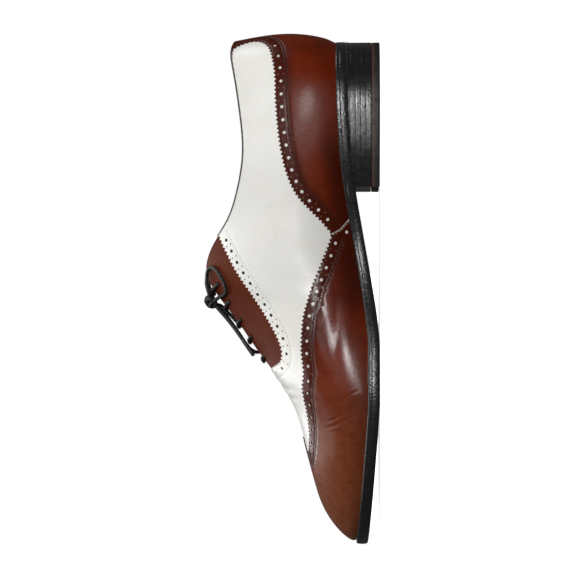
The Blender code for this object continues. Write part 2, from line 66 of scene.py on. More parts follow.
# Sections from the back of the heel to the tip of the toe, for the sizes above.
# s: station of the sole's edge; sole_m, sole_l: its half widths, inner and outer;
# welt: how far the wall's foot stands inside it; lean_m, lean_l: outward lean of
# the wall at its foot, degrees; rise: how far that lean lasts; top_s, top_x,
# top_z: the rib's upper end; droop: fall of the wall there, degrees; reach: how
# far that fall lasts; follow: 1 where the rib leaves along the ridge's own slope.
Section = namedtuple(
    "Section",
    "name s sole_m sole_l welt lean_m lean_l rise top_s top_x top_z droop reach follow",
)
SECTIONS = [
    Section("heel_back", 4.1, 0.0, 0.0, 0.8, 19, 19, 24.0, 4.2, 0.0, 86.5, 79, 22.0, 0),
    Section("heel_round", 7.6, 15.0, 15.0, 0.8, 17, 17, 24.0, 6.6, 9.2, 87.2, 79, 22.0, 0),
    Section("heel_turn", 16.5, 26.3, 26.3, 0.9, 13, 13, 23.0, 14.0, 17.2, 87.6, 79, 22.0, 0),
    Section("heel_side", 31.0, 33.0, 33.0, 1.0, 10, 10, 22.0, 28.0, 23.2, 85.0, 79, 22.0, 0),
    Section("seat", 51.0, 34.5, 35.0, 1.2, 9, 8, 21.0, 49.0, 26.8, 81.7, 80, 22.0, 0),
    Section("breast", 76.0, 32.0, 34.5, 1.5, 14, 7, 22.0, 72.0, 27.8, 80.0, 80, 22.0, 0),
    Section("shank", 100.0, 26.5, 33.5, 2.0, 22, 7, 24.0, 93.0, 25.8, 83.2, 76, 24.0, 0),
    Section("waist", 121.0, 23.5, 34.0, 2.2, 27, 8, 27.0, 110.0, 20.8, 89.0, 66, 28.0, 0.1),
    Section("waist_front", 139.0, 25.0, 37.0, 2.6, 25, 8, 28.0, 124.0, 13.5, 98.0, 53, 31.0, 0.4),
    Section("facing_top", 155.0, 29.5, 42.5, 3.0, 20, 8, 28.0, 136.5, 6.0, 103.7, 43, 32.0, 0.8),
    Section("instep", 170.0, 35.5, 48.5, 3.4, 15, 8, 27.0, 150.0, 2.8, 101.3, 38, 32.0, 1),
    Section("lacing", 186.0, 41.2, 53.2, 3.8, 11, 7, 25.0, 169.0, 2.2, 87.6, 30, 30.0, 1),
    Section("joint_rear", 203.0, 45.0, 56.0, 4.0, 9, 6, 22.0, 187.0, 1.6, 75.0, 20, 28.0, 1),
    Section("joint", 218.0, 46.2, 55.8, 4.0, 8, 6, 19.0, 200.5, 0.0, 65.0, 0, 27.0, 1),
    Section("tread", 238.0, 44.2, 52.6, 3.9, 7, 6, 15.5, 221.0, 0.0, 51.8, 0, 26.0, 1),
    Section("vamp", 257.0, 40.2, 47.0, 3.8, 6, 5, 13.0, 240.5, 0.0, 45.1, 0, 25.0, 1),
    Section("toe_rear", 274.0, 34.2, 39.6, 3.6, 5, 5, 11.4, 256.0, 0.0, 41.1, 0, 22.0, 1),
    Section("toe", 288.5, 26.0, 29.8, 3.4, 4, 4, 8.8, 266.0, 0.0, 38.4, 0, 19.0, 1),
    Section("toe_turn", 300.0, 14.8, 16.4, 3.2, 3, 3, 6.2, 272.0, 0.0, 36.7, 0, 18.0, 1),
    Section("toe_tip", 306.0, 0.0, 0.0, 3.0, 3, 3, 5.0, 274.0, 0.0, 36.1, 0, 18.0, 1),
]
THROAT = 13             # the section where the throat ends and the ridge begins
TIP = len(SECTIONS) - 1

# Underside of the outsole along the shoe: heel seat, arch, flat tread, toe spring.
Under = namedtuple("Under", "s z")
UNDERSIDE = [
    Under(4, 19.2), Under(30, 18.9), Under(51, 18.2), Under(71, 16.9), Under(92, 14.4),
    Under(118, 10.0), Under(150, 4.4), Under(170, 1.4), Under(186, 0.0), Under(214, 0.0),
    Under(231, 0.8), Under(250, 2.2), Under(270, 3.7), Under(288, 5.2), Under(306, 6.9),
]

# Lace: each pair of eyelets by its station along the throat, the station where its
# bar crosses the middle and its distance from the facing's edge, then the runs of
# the bow. A run's points give the station, the distance across from the middle of
# the throat along the leather (inner side negative) and the height of the lace's
# middle above it.
Eyelet = namedtuple("Eyelet", "s middle inset")
EYELETS = [
    Eyelet(191.2, 195.2, 5.0), Eyelet(179.0, 184.0, 6.0), Eyelet(168.2, 174.6, 7.4), Eyelet(157.0, 164.6, 8.8), Eyelet(146.0, 154.6, 8.8),
]
Run = namedtuple("Run", "s across up")
KNOT_SIZE = (11.0, 9.0, 7.0)
KNOT_S = 156.5
LOOP_INNER = [
    Run(151.6, -3.4, 4.4), Run(147.6, -4.0, 3.1), Run(143.6, -6.0, 1.9), Run(139.8, -8.2, 1.6),
    Run(137.0, -11.4, 1.6), Run(136.6, -15.6, 1.6), Run(138.8, -19.0, 1.6), Run(142.8, -20.4, 1.6),
    Run(147.0, -18.8, 1.6), Run(150.4, -15.0, 1.6), Run(152.6, -11.2, 1.8), Run(153.9, -8.6, 2.5), Run(155.2, -6.4, 3.5),
]
LOOP_FRONT = [
    Run(160.6, 5.8, 4.6), Run(164.4, 6.8, 4.2), Run(169.0, 8.6, 4.1), Run(172.8, 10.3, 2.9), Run(176.6, 12.0, 1.9),
    Run(180.9, 13.7, 1.6), Run(182.9, 13.3, 1.6), Run(184.9, 12.0, 1.6), Run(186.7, 10.1, 1.65), Run(188.0, 7.8, 1.85),
    Run(188.6, 5.5, 2.2), Run(188.4, 3.6, 2.75), Run(187.4, 2.3, 3.3), Run(185.9, 1.9, 3.8), Run(181.8, 1.9, 4.2),
    Run(176.6, 2.1, 4.2), Run(170.6, 2.4, 4.3), Run(164.6, 2.8, 4.6), Run(160.8, 2.8, 5.0),
]
END_FRONT = [
    Run(160.4, -0.4, 5.2), Run(164.6, -0.5, 4.7), Run(171.0, -0.7, 4.2), Run(178.0, -0.9, 4.0),
    Run(184.0, -1.1, 3.9), Run(190.0, -1.4, 3.9),
]
END_OUTER = [
    Run(151.4, 4.2, 4.4), Run(147.6, 4.9, 3.4), Run(143.6, 6.4, 2.1), Run(139.9, 9.4, 1.6),
    Run(137.2, 13.6, 1.6), Run(135.7, 18.4, 1.6), Run(135.2, 23.6, 1.6), Run(135.6, 30.4, 1.6),
]


# Curves
def closed_spline(values):
    """A smooth closed curve through values at 0, 1, 2 and so on."""
    y = np.asarray(values, float)
    n = len(y)
    a = 4 * np.eye(n) + np.roll(np.eye(n), 1, 1) + np.roll(np.eye(n), -1, 1)
    m = np.linalg.solve(a, 6 * (np.roll(y, -1) - 2 * y + np.roll(y, 1)))

    def at(t):
        t = np.asarray(t, float) % n
        i = np.minimum(t.astype(int), n - 1)
        j, f = (i + 1) % n, t - i
        g = 1 - f
        return g * y[i] + f * y[j] + ((g**3 - g) * m[i] + (f**3 - f) * m[j]) / 6

    return at


def steady_spline(knots, values):
    """A curve through the points that never swings past one of them."""
    x, y = np.asarray(knots, float), np.asarray(values, float)
    h = np.diff(x)
    d = np.diff(y) / h
    m = np.zeros_like(y)
    m[0], m[-1] = d[0], d[-1]
    for i in range(1, len(y) - 1):
        if d[i - 1] * d[i] > 0:
            a, b = 2 * h[i] + h[i - 1], h[i] + 2 * h[i - 1]
            m[i] = (a + b) / (a / d[i - 1] + b / d[i])

    def at(q):
        q = np.clip(np.asarray(q, float), x[0], x[-1])
        i = np.clip(np.searchsorted(x, q, side="right") - 1, 0, len(h) - 1)
        t = (q - x[i]) / h[i]
        return (
            y[i] * (1 + 2 * t) * (1 - t) ** 2
            + h[i] * m[i] * t * (1 - t) ** 2
            + y[i + 1] * t * t * (3 - 2 * t)
            + h[i] * m[i + 1] * t * t * (t - 1)
        )

    return at


def around(inner, outer):
    """A column of the table as a closed curve: outer side forward, inner side back."""
    return closed_spline(list(outer) + list(inner)[-2:0:-1])


def column(name):
    return np.array([getattr(row, name) for row in SECTIONS], float)


# The shoe's functions of the rib number r, from 0 at the heel to TIP, on a side:
# -1 inner, +1 outer.
EDGE_S = around(column("s"), column("s"))
EDGE_X = around(-column("sole_m"), column("sole_l"))
WELT_IN = around(column("welt"), column("welt"))
LEAN = around(column("lean_m"), column("lean_l"))
RISE = around(column("rise"), column("rise"))
TOP_S = around(column("top_s"), column("top_s"))
TOP_Z = around(column("top_z"), column("top_z"))
REACH = around(column("reach"), column("reach"))
DROOP = steady_spline(range(-1, TIP + 1), [column("droop")[1], *column("droop")])
FOLLOW = steady_spline(range(TIP + 1), column("follow"))
TOP_X = steady_spline(range(-1, TIP + 1), [-column("top_x")[1], *column("top_x")])
UNDER_Z = steady_spline([u.s for u in UNDERSIDE], [u.z for u in UNDERSIDE])


def foot_z(s):
    """Height of the welt's top face, on which the wall stands."""
    return UNDER_Z(s) + OUTSOLE + GAP + WELT


def edge(side, r, inset=0.0):
    """Plan point (x, s) on the sole's edge, moved inwards, and the outward normal there."""
    t = np.asarray(r, float) * side
    step = 1e-3
    x, s = EDGE_X(t), EDGE_S(t)
    dx, ds = EDGE_X(t + step) - EDGE_X(t - step), EDGE_S(t + step) - EDGE_S(t - step)
    long = np.hypot(dx, ds)
    nx, ns = ds / long, -dx / long
    return x - inset * nx, s - inset * ns, nx, ns


def foot(side, r, inset=0.0):
    """Plan point at the foot of the wall, moved inwards."""
    return edge(side, r, WELT_IN(np.asarray(r, float) * side) + inset)


def rib(side, r):
    """The four control points of a rib, foot to top."""
    r = np.asarray(r, float)
    t = r * side
    bx, bs, nx, ns = foot(side, r)
    low = np.stack([bx, bs, foot_z(bs) + GAP], -1)
    lean, rise = np.radians(LEAN(t)), RISE(t)[..., None]
    out = np.stack([nx, ns, np.zeros_like(nx)], -1)
    up = np.array([0.0, 0.0, 1.0])
    first = low + rise * (np.sin(lean)[..., None] * out + np.cos(lean)[..., None] * up)
    width = np.where(r < THROAT, TOP_X(r), 0.0)
    top = np.stack([side * width, TOP_S(t), TOP_Z(t)], -1)
    step = 1e-3
    slope = (TOP_Z(t + step) - TOP_Z(t - step)) / np.where(
        np.abs(TOP_S(t + step) - TOP_S(t - step)) < 1e-9, 1e-9, TOP_S(t + step) - TOP_S(t - step)
    )
    slope = np.where(r > TIP - 1e-6, -0.285, slope)
    w = FOLLOW(r)
    to_foot = np.stack([bx - top[..., 0], bs - top[..., 1]], -1)
    to_foot /= np.linalg.norm(to_foot, axis=-1, keepdims=True) + 1e-9
    e = w[..., None] * to_foot + (1 - w)[..., None] * np.stack([nx, ns], -1)
    e /= np.linalg.norm(e, axis=-1, keepdims=True)
    droop = np.radians(np.where(r < THROAT, DROOP(r), 0.0))
    fall = np.stack(
        [
            np.cos(droop) * e[..., 0],
            np.cos(droop) * e[..., 1],
            -np.sin(droop) + w * np.cos(droop) * e[..., 1] * slope,
        ],
        -1,
    )
    fall /= np.linalg.norm(fall, axis=-1, keepdims=True)
    second = top + REACH(t)[..., None] * fall
    return low, first, second, top


def wall(side, r, v):
    """Outer surface of the upper: rib r of a side, v from 0 at the foot to 1 at the top."""
    r, v = np.broadcast_arrays(np.asarray(r, float), np.asarray(v, float))
    a, b, c, d = rib(side, r)
    v = v[..., None]
    return (1 - v) ** 3 * a + 3 * v * (1 - v) ** 2 * b + 3 * v * v * (1 - v) * c + v**3 * d


def wall_normal(side, r, v):
    """Outward normal of that surface."""
    r, v = np.broadcast_arrays(np.asarray(r, float), np.asarray(v, float))
    middle = (r < 1e-6) | (r > TIP - 1e-6) | ((r >= THROAT) & (v > 1 - 1e-6))
    v = np.where(r > THROAT, np.minimum(v, 0.985), v)
    step = 2e-3
    r0, r1 = np.clip(r - step, 0, TIP), np.clip(r + step, 0, TIP)
    v0, v1 = np.clip(v - step, -0.05, 1), np.clip(v + step, -0.05, 1)
    along = wall(side, r1, v) - wall(side, r0, v)
    upward = wall(side, r, v1) - wall(side, r, v0)
    n = side * np.cross(along, upward)
    n /= np.linalg.norm(n, axis=-1, keepdims=True) + 1e-12
    n[..., 0] = np.where(middle, 0.0, n[..., 0])
    return n / np.linalg.norm(n, axis=-1, keepdims=True)


def rib_at(station):
    """The rib whose top is at this station of the throat or ridge."""
    low, high = 6.0, float(TIP)
    for _ in range(50):
        mid = (low + high) / 2
        low, high = (mid, high) if TOP_S(mid) < station else (low, mid)
    return (low + high) / 2


def down_the_rib(side, r, distance):
    """The v of the point this far down the leather from the rib's top."""
    v = np.linspace(1, 0, 400)
    p = wall(side, np.full_like(v, r), v)
    run = np.concatenate([[0], np.cumsum(np.linalg.norm(np.diff(p, axis=0), axis=1))])
    return float(np.interp(distance, run, v))


# Where the origin is: the middle of the pieces' box, on the floor.
_r = np.linspace(0, TIP, 400)
MIDDLE_X = float(EDGE_X(_r).max() + EDGE_X(-_r).min()) / 2
MIDDLE_S = float(wall(1, 0.0, np.linspace(0, 1, 200))[:, 1].min() + EDGE_S(float(TIP))) / 2


def placed(points):
    """Shoe millimetres (x, s, z) to metres about the origin."""
    p = np.asarray(points, float)
    return (p - [MIDDLE_X, MIDDLE_S, 0.0]) * MM


# Lacing
def over_throat(station, across, up):
    """A point above the lacing: station along the throat, distance across, height above the leather."""
    r = rib_at(station)
    side = -1 if across < 0 else 1
    start = float(TOP_X(r))
    near = start + 1.2
    away = abs(across)

    def above(k, distance):
        v = down_the_rib(k, r, distance - start)
        return wall(k, r, v) + up * wall_normal(k, r, v)

    if away >= near:
        return above(side, away)
    p, q = above(side, near), above(-side, near)
    mid = (p + q) / 2 + np.array([0.0, 0.0, 0.45 * near * math.tan(math.radians(float(DROOP(r))))])
    f = away / near
    return mid + (p - mid) * np.array([f, f * f, f * f])


def smooth_run(points, step):
    """Points a step apart on a smooth curve through the given ones."""
    p = np.asarray(points, float)
    t = np.concatenate([[0], np.cumsum(np.sqrt(np.linalg.norm(np.diff(p, axis=0), axis=1)))])
    m = np.gradient(p, t, axis=0)
    fine = []
    for i in range(len(p) - 1):
        h = t[i + 1] - t[i]
        for u in np.linspace(0, 1, 24, endpoint=False):
            fine.append(
                (2 * u**3 - 3 * u**2 + 1) * p[i] + (u**3 - 2 * u**2 + u) * h * m[i]
                + (3 * u**2 - 2 * u**3) * p[i + 1] + (u**3 - u**2) * h * m[i + 1]
            )
    fine = np.array(fine + [p[-1]])
    run = np.concatenate([[0], np.cumsum(np.linalg.norm(np.diff(fine, axis=0), axis=1))])
    at = np.linspace(0, run[-1], max(3, round(run[-1] / step) + 1))
    return np.stack([np.interp(at, run, fine[:, k]) for k in range(p.shape[1])], -1)


def knot_frame():
    """Middle of the knot on the top bar, and its axes across, ahead and up."""
    centre = over_throat(KNOT_S, 0.0, LACE + 0.4 + GAP + KNOT_SIZE[2] / 2)
    ahead = over_throat(KNOT_S + 1.0, 0.0, 0.0) - over_throat(KNOT_S - 1.0, 0.0, 0.0)
    ahead /= np.linalg.norm(ahead)
    across = np.array([1.0, 0.0, 0.0])
    return centre, np.stack([across, ahead, np.cross(across, ahead)])


def bow_run(runs, step=3.6):
    """A run of the bow, cut off where it meets the knot."""
    fine = smooth_run([over_throat(p.s, p.across, p.up) for p in runs], 0.25)
    centre, axes = knot_frame()
    size = np.array(KNOT_SIZE) / 2 + GAP + 0.35 * LACE
    clear = np.linalg.norm((fine - centre) @ axes.T / size, axis=1) > 1
    return smooth_run(fine[clear][:: round(step / 0.25)], step)


def eyelet_across(eyelet):
    """How far an eyelet is from the middle of the throat."""
    return float(TOP_X(rib_at(eyelet.s))) + eyelet.inset


def under_throat(r, across, depth):
    """A point beneath the throat: across is the distance over the middle, depth below the leather."""
    side = -1 if across < 0 else 1
    start = float(TOP_X(r)) if r < THROAT else 0.0
    flat = 7.0
    away = abs(across)
    v = down_the_rib(side, r, max(away, flat) - start)
    p = wall(side, r, v) - depth * wall_normal(side, r, v)
    if away < flat:
        q = wall(-side, r, down_the_rib(-side, r, flat - start))
        q = q - depth * wall_normal(-side, r, down_the_rib(-side, r, flat - start))
        mid = (p + q) / 2 + np.array([0.0, 0.0, 0.30 * flat * math.tan(math.radians(float(DROOP(r))) if r < THROAT else 0.0)])
        f = away / flat
        p = mid * (1 - f * f) + p * f * f
    return p



# Leather over the wall
V_LOW = -0.014          # the leather runs a little below the welt's top face
RIB_MM, RISE_MM = 15.5, 62.0   # about one rib step and one rib height, for even triangles
SHELL_TOP, FACING_TOP, WHITE_TOP, BROWN_TOP = -0.8, -0.1, 0.5, 1.2
Edge = namedtuple("Edge", "r v")

# Edges of the sewn panels on the wall: rib number and share of the rib's height.
WING_EDGE = [
    Edge(14.94, 1.0), Edge(15.14, 0.963), Edge(15.30, 0.914), Edge(15.30, 0.856), Edge(15.08, 0.793),
    Edge(14.67, 0.733), Edge(14.25, 0.689), Edge(13.44, 0.610), Edge(12.62, 0.543), Edge(11.39, 0.492),
    Edge(10.39, 0.422), Edge(9.48, 0.354), Edge(8.55, 0.299), Edge(7.76, 0.245), Edge(7.02, 0.176),
]
COUNTER_EDGE = [
    Edge(2.30, 1.0), Edge(1.62, 0.972), Edge(1.28, 0.887), Edge(1.19, 0.791), Edge(1.42, 0.700),
    Edge(1.85, 0.635), Edge(2.43, 0.610), Edge(2.94, 0.609), Edge(3.76, 0.639), Edge(4.59, 0.639),
    Edge(5.31, 0.582), Edge(5.94, 0.471), Edge(6.40, 0.324), Edge(6.63, 0.251), Edge(6.94, 0.178),
]
SEAM = [Edge(6.98, 0.176), Edge(6.82, 0.100), Edge(6.61, 0.029), Edge(6.48, V_LOW)]
FACING_EDGE = [
    Edge(7.76, 1.0), Edge(7.83, 0.981), Edge(8.11, 0.919), Edge(8.34, 0.865), Edge(8.57, 0.817),
    Edge(8.98, 0.743), Edge(9.46, 0.689), Edge(9.93, 0.669), Edge(10.68, 0.656), Edge(11.30, 0.650),
    Edge(11.62, 0.664), Edge(11.90, 0.695), Edge(12.20, 0.752), Edge(12.56, 0.845), Edge(12.83, 0.915), Edge(12.98, 0.968), Edge(13.01, 1.0),
]
BIG_HOLE, SMALL_HOLE, HOLE_PITCH, HOLE_IN = 1.02, 0.48, 7.5, 4.2
PINK_PITCH, PINK_DEPTH = 2.5, 1.35

# Creases of wear: side, line on the wall, depth and width in mm.
Crease = namedtuple("Crease", "side line depth width")
CREASES = [
    Crease(-1, [Edge(13.94, 0.427), Edge(13.65, 0.262), Edge(13.34, 0.097)], 0.20, 0.75),
    Crease(-1, [Edge(13.84, 0.344), Edge(13.75, 0.278), Edge(13.70, 0.216)], 0.15, 0.65),
    Crease(-1, [Edge(13.69, 0.384), Edge(13.56, 0.305), Edge(13.37, 0.231)], 0.12, 0.70),
    Crease(-1, [Edge(12.93, 0.229), Edge(12.67, 0.147), Edge(12.47, 0.076)], 0.12, 0.70),
    Crease(-1, [Edge(13.08, 0.284), Edge(12.98, 0.210), Edge(12.76, 0.138)], 0.12, 0.70),
    Crease(1, [Edge(13.70, 0.400), Edge(13.52, 0.270), Edge(13.36, 0.130)], 0.20, 0.80),
    Crease(1, [Edge(13.98, 0.420), Edge(13.90, 0.320), Edge(13.84, 0.210)], 0.16, 0.70),
    Crease(1, [Edge(12.80, 0.330), Edge(12.64, 0.230), Edge(12.56, 0.140)], 0.13, 0.80),
    Crease(-1, [Edge(8.80, 0.160), Edge(9.60, 0.182), Edge(10.40, 0.205), Edge(11.10, 0.232), Edge(11.90, 0.256)], 0.26, 2.8),
    Crease(1, [Edge(8.90, 0.200), Edge(9.80, 0.230), Edge(10.70, 0.255), Edge(11.60, 0.270)], 0.24, 3.0),
    Crease(-1, [Edge(13.38, 1.0), Edge(13.33, 0.83), Edge(13.12, 0.68), Edge(13.00, 0.60)], 0.26, 1.7),
    Crease(1, [Edge(13.38, 1.0), Edge(13.33, 0.83), Edge(13.12, 0.68), Edge(13.00, 0.60)], 0.26, 1.7),
    Crease(-1, [Edge(13.72, 1.0), Edge(13.62, 0.84), Edge(13.45, 0.72), Edge(13.36, 0.64)], 0.22, 1.5),
    Crease(1, [Edge(13.72, 1.0), Edge(13.62, 0.84), Edge(13.45, 0.72), Edge(13.36, 0.64)], 0.22, 1.5),
]


def unit(a):
    return a / (np.linalg.norm(a, axis=-1, keepdims=True) + 1e-12)


def smooth_step(a, low, high):
    f = np.clip((a - low) / (high - low), 0, 1)
    return f * f * (3 - 2 * f)


def line_samples(side, edges, step):
    q = np.array([[e.r * RIB_MM, e.v * RISE_MM] for e in edges])
    q = smooth_run(q, step)
    return wall(side, q[:, 0] / RIB_MM, q[:, 1] / RISE_MM)


CREASE_LINES = [(c, line_samples(c.side, c.line, 0.6)) for c in CREASES]


def crease_push(p):
    """How far the creases move a point in or out, and the slope of that in space."""
    flat = p.reshape(-1, 3)
    push, slope = np.zeros(len(flat)), np.zeros_like(flat)
    for c, line in CREASE_LINES:
        near = np.where(np.linalg.norm(flat - line.mean(0), axis=1) < 45)[0]
        if not len(near):
            continue
        away = flat[near][:, None] - line[None]
        dist = np.linalg.norm(away, axis=2)
        k = dist.argmin(1)
        d = dist[np.arange(len(near)), k]
        to = away[np.arange(len(near)), k] / (d[:, None] + 1e-9)
        taper = np.sin(np.pi * np.clip((k + 0.5) / len(line), 0, 1)) ** 0.6
        if c.line[0].v > 0.99:
            taper = np.cos(np.pi / 2 * (k + 0.5) / len(line)) ** 0.8
        w = c.width
        dip = np.exp(-((d / w) ** 2))
        lip = np.exp(-(((d - 2.2 * w) / (0.9 * w)) ** 2))
        push[near] += c.depth * taper * (0.4 * lip - dip)
        rate = c.depth * taper * (2 * d / w**2 * dip - 0.4 * 2 * (d - 2.2 * w) / (0.9 * w) ** 2 * lip)
        slope[near] += rate[:, None] * to
    return push.reshape(p.shape[:-1]), slope.reshape(p.shape)


def layer(side, r, v, height, dips=None):
    """Points and normals of a layer of leather this far above the wall. dips, if given, is a
    function of the points on the wall that gives a further push and its slope."""
    r, v = np.asarray(r, float), np.asarray(v, float)
    n = wall_normal(side, r, v)
    p = wall(side, r, v)
    push, slope = crease_push(p)
    if dips is not None:
        more, tilt = dips(p)
        push, slope = push + more, slope + tilt
    tuck = 0.35 + 0.65 * smooth_step(v, 0.0, 0.10)
    out = p + (height * tuck + push)[..., None] * n
    flat = slope - (slope * n).sum(-1, keepdims=True) * n
    return out, unit(n - flat)


def steps_of(side, r, v):
    e = 1e-3
    return (
        (wall(side, r + e, v) - wall(side, r - e, v)) / (2 * e),
        (wall(side, r, v + e) - wall(side, r, v - e)) / (2 * e),
    )


def move(side, r, v, way, distance):
    """Goes a distance over the leather in a direction given in space."""
    r, v = np.array(r, float), np.array(v, float)
    distance = np.broadcast_to(np.asarray(distance, float), r.shape)
    count = max(1, int(math.ceil(np.abs(distance).max() / 1.5)))
    for _ in range(count):
        a, b = steps_of(side, r, np.minimum(v, 0.985))
        n = unit(np.cross(a, b))
        w = unit(way - (way * n).sum(-1, keepdims=True) * n)
        aa, ab, bb = (a * a).sum(-1), (a * b).sum(-1), (b * b).sum(-1)
        aw, bw = (a * w).sum(-1), (b * w).sum(-1)
        det = aa * bb - ab * ab + 1e-9
        r = r + distance / count * (bb * aw - ab * bw) / det
        v = v + distance / count * (aa * bw - ab * aw) / det
    return r, v


class Line:
    """A smooth line on one side's leather through panel edge points, measured along its length.
    inside is +1 or -1, the hand on which its panel lies."""

    def __init__(self, side, edges, inside):
        q = smooth_run(np.array([[e.r * RIB_MM, e.v * RISE_MM] for e in edges]), 0.3)
        self.side, self.inside = side, inside * side
        self.r, self.v = q[:, 0] / RIB_MM, q[:, 1] / RISE_MM
        p = wall(side, self.r, self.v)
        self.run = np.concatenate([[0], np.cumsum(np.linalg.norm(np.diff(p, axis=0), axis=1))])
        self.points = p
        self.length = float(self.run[-1])

    def rv(self, d):
        return np.interp(d, self.run, self.r), np.interp(d, self.run, self.v)

    def ways(self, d):
        """Directions along the line and into the panel."""
        e = 0.8
        a, b = self.rv(np.clip(d - e, 0, self.length)), self.rv(np.clip(d + e, 0, self.length))
        along = unit(wall(self.side, *b) - wall(self.side, *a))
        r, v = self.rv(d)
        n = wall_normal(self.side, r, v)
        return along, unit(np.cross(n, along)) * self.inside

    def offset(self, d, inward):
        d = np.asarray(d, float)
        r, v = self.rv(d)
        _, way = self.ways(d)
        return move(self.side, r, v, way, inward)

    def even(self, inward, start, end, pitch):
        """Places along the line at which the row this far inside it goes on in even steps."""
        d = np.linspace(start, end, max(8, int((end - start) / 0.3)))
        p = wall(self.side, *self.offset(d, inward))
        run = np.concatenate([[0], np.cumsum(np.linalg.norm(np.diff(p, axis=0), axis=1))])
        count = max(1, int(run[-1] / pitch))
        return np.interp(run[-1] * (np.arange(count) + 0.5) / count, run, d)

    def pinked(self):
        """The cut edge, in teeth."""
        teeth = max(4, int(round(self.length / PINK_PITCH)))
        d = np.linspace(0, self.length, 2 * teeth + 1)
        depth = np.where(np.arange(len(d)) % 2 == 1, PINK_DEPTH, 0.0)
        r, v = self.offset(d, depth)
        r[0], v[0], r[-1], v[-1] = self.r[0], self.v[0], self.r[-1], self.v[-1]
        return np.clip(r, 0, TIP), np.clip(v, V_LOW, 1)

    def holes(self, start, end):
        """Rings of the brogue holes, large and small: a large one, then a pair of small ones, all along."""
        count = max(1, int(round((end - start) / HOLE_PITCH)))
        pitch = (end - start) / count
        large = start + pitch * (np.arange(count) + 0.5)
        small = start + pitch * np.arange(1, count)
        found = [[], []]
        for size, d, inward, radius, sides in (
            (0, large, HOLE_IN, BIG_HOLE, 14), (1, small, HOLE_IN - 1.55, SMALL_HOLE, 8), (1, small, HOLE_IN + 1.55, SMALL_HOLE, 8),
        ):
            if len(d):
                r, v = self.offset(d, inward)
                rings = ring_of(self.side, r, v, radius, sides)
                found[size] += [q for q in rings if q[:, 1].max() < 0.99 and q[:, 0].min() > 0.02]
        return found


def ring_of(side, r, v, radius, sides):
    """Round holes about points of the leather, as rings of (r, v)."""
    r, v = np.atleast_1d(r), np.atleast_1d(v)
    a, b = steps_of(side, r, np.minimum(v, 0.985))
    a = unit(a)
    n = unit(np.cross(a, b))
    b = np.cross(n, a)
    found = []
    for k in range(len(r)):
        t = 2 * np.pi * np.arange(sides) / sides
        way = np.cos(t)[:, None] * a[k] + np.sin(t)[:, None] * b[k]
        q = move(side, np.full(sides, r[k]), np.full(sides, v[k]), way, radius)
        found.append(np.stack(q, -1))
    return found


# Meshes
class Builder:
    """Gathers faces with their corners' normals into one mesh."""

    def __init__(self):
        self.points, self.faces, self.normals, self.kind, self.band_tone_and_shade = [], [], [], [], []

    def add(self, points, faces, normals, kind=0, band_tone_and_shade=None):
        """normals: one per point, or None for flat faces; the darkening per point: 0 where the leather is darkest, in
        the band along sewn edges and in painted shade low down by the welt, to 1.
        """
        base = len(self.points)
        points = np.asarray(points, float)
        self.points.extend(points.tolist())
        self.band_tone_and_shade.extend(np.ones(len(points)) if band_tone_and_shade is None else band_tone_and_shade)
        for f in faces:
            self.faces.append([base + i for i in f])
            self.kind.append(kind)
            if normals is None:
                a, b, c = points[f[0]], points[f[1]], points[f[2]]
                n = np.cross(b - a, c - a)
                if len(f) > 3:
                    n = np.cross(points[f[2]] - points[f[0]], points[f[3]] - points[f[1]])
                n = n / (np.linalg.norm(n) + 1e-15)
                self.normals.extend([n.tolist()] * len(f))
            else:
                self.normals.extend(np.asarray(normals)[list(f)].tolist())

    def make(self, name, looks, slot, *nodes):
        mesh = bpy.data.meshes.new(name)
        mesh.from_pydata(placed(self.points).tolist(), [], self.faces)
        for look in looks:
            mesh.materials.append(look)
        mesh.polygons.foreach_set("use_smooth", np.ones(len(self.faces), bool))
        mesh.polygons.foreach_set("material_index", np.array(self.kind, np.int32))
        mesh.normals_split_custom_set(self.normals)
        mesh.attributes.new("band_tone_and_shade", "FLOAT", "POINT").data.foreach_set("value", np.array(self.band_tone_and_shade, np.float32))
        mesh.update()
        return keep(name, mesh, slot, *nodes)


def keep(name, data, slot, *nodes):
    obj = bpy.data.objects.new(name, data)
    bpy.context.scene.collection.objects.link(obj)
    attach(obj, "root")
    if nodes:
        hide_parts(*nodes)
    return obj


def smooth_mesh(name, points, faces, looks, slot, *nodes, sharp=40, kind=None, uv=None):
    mesh = bpy.data.meshes.new(name)
    mesh.from_pydata(placed(points).tolist(), [], [list(f) for f in faces])
    for look in looks:
        mesh.materials.append(look)
    if kind is not None:
        mesh.polygons.foreach_set("material_index", np.array(kind, np.int32))
    if uv is not None:
        lay = mesh.uv_layers.new(name="UVMap")
        loops = np.zeros(len(mesh.loops), np.int32)
        mesh.loops.foreach_get("vertex_index", loops)
        lay.data.foreach_set("uv", np.asarray(uv, np.float32)[loops].ravel())
    mesh.update()
    mesh.shade_smooth()
    mesh.set_sharp_from_angle(angle=math.radians(sharp))
    return keep(name, mesh, slot, *nodes)


def inside_ring(q, ring):
    """Which points lie inside a closed ring, in the plane."""
    x, y = q[:, 0], q[:, 1]
    found = np.zeros(len(q), bool)
    a, b = ring, np.roll(ring, -1, 0)
    for (x0, y0), (x1, y1) in zip(a, b):
        if y0 == y1:
            continue
        cross = (y0 > y) != (y1 > y)
        found ^= cross & (x < (x1 - x0) * (y - y0) / (y1 - y0) + x0)
    return found


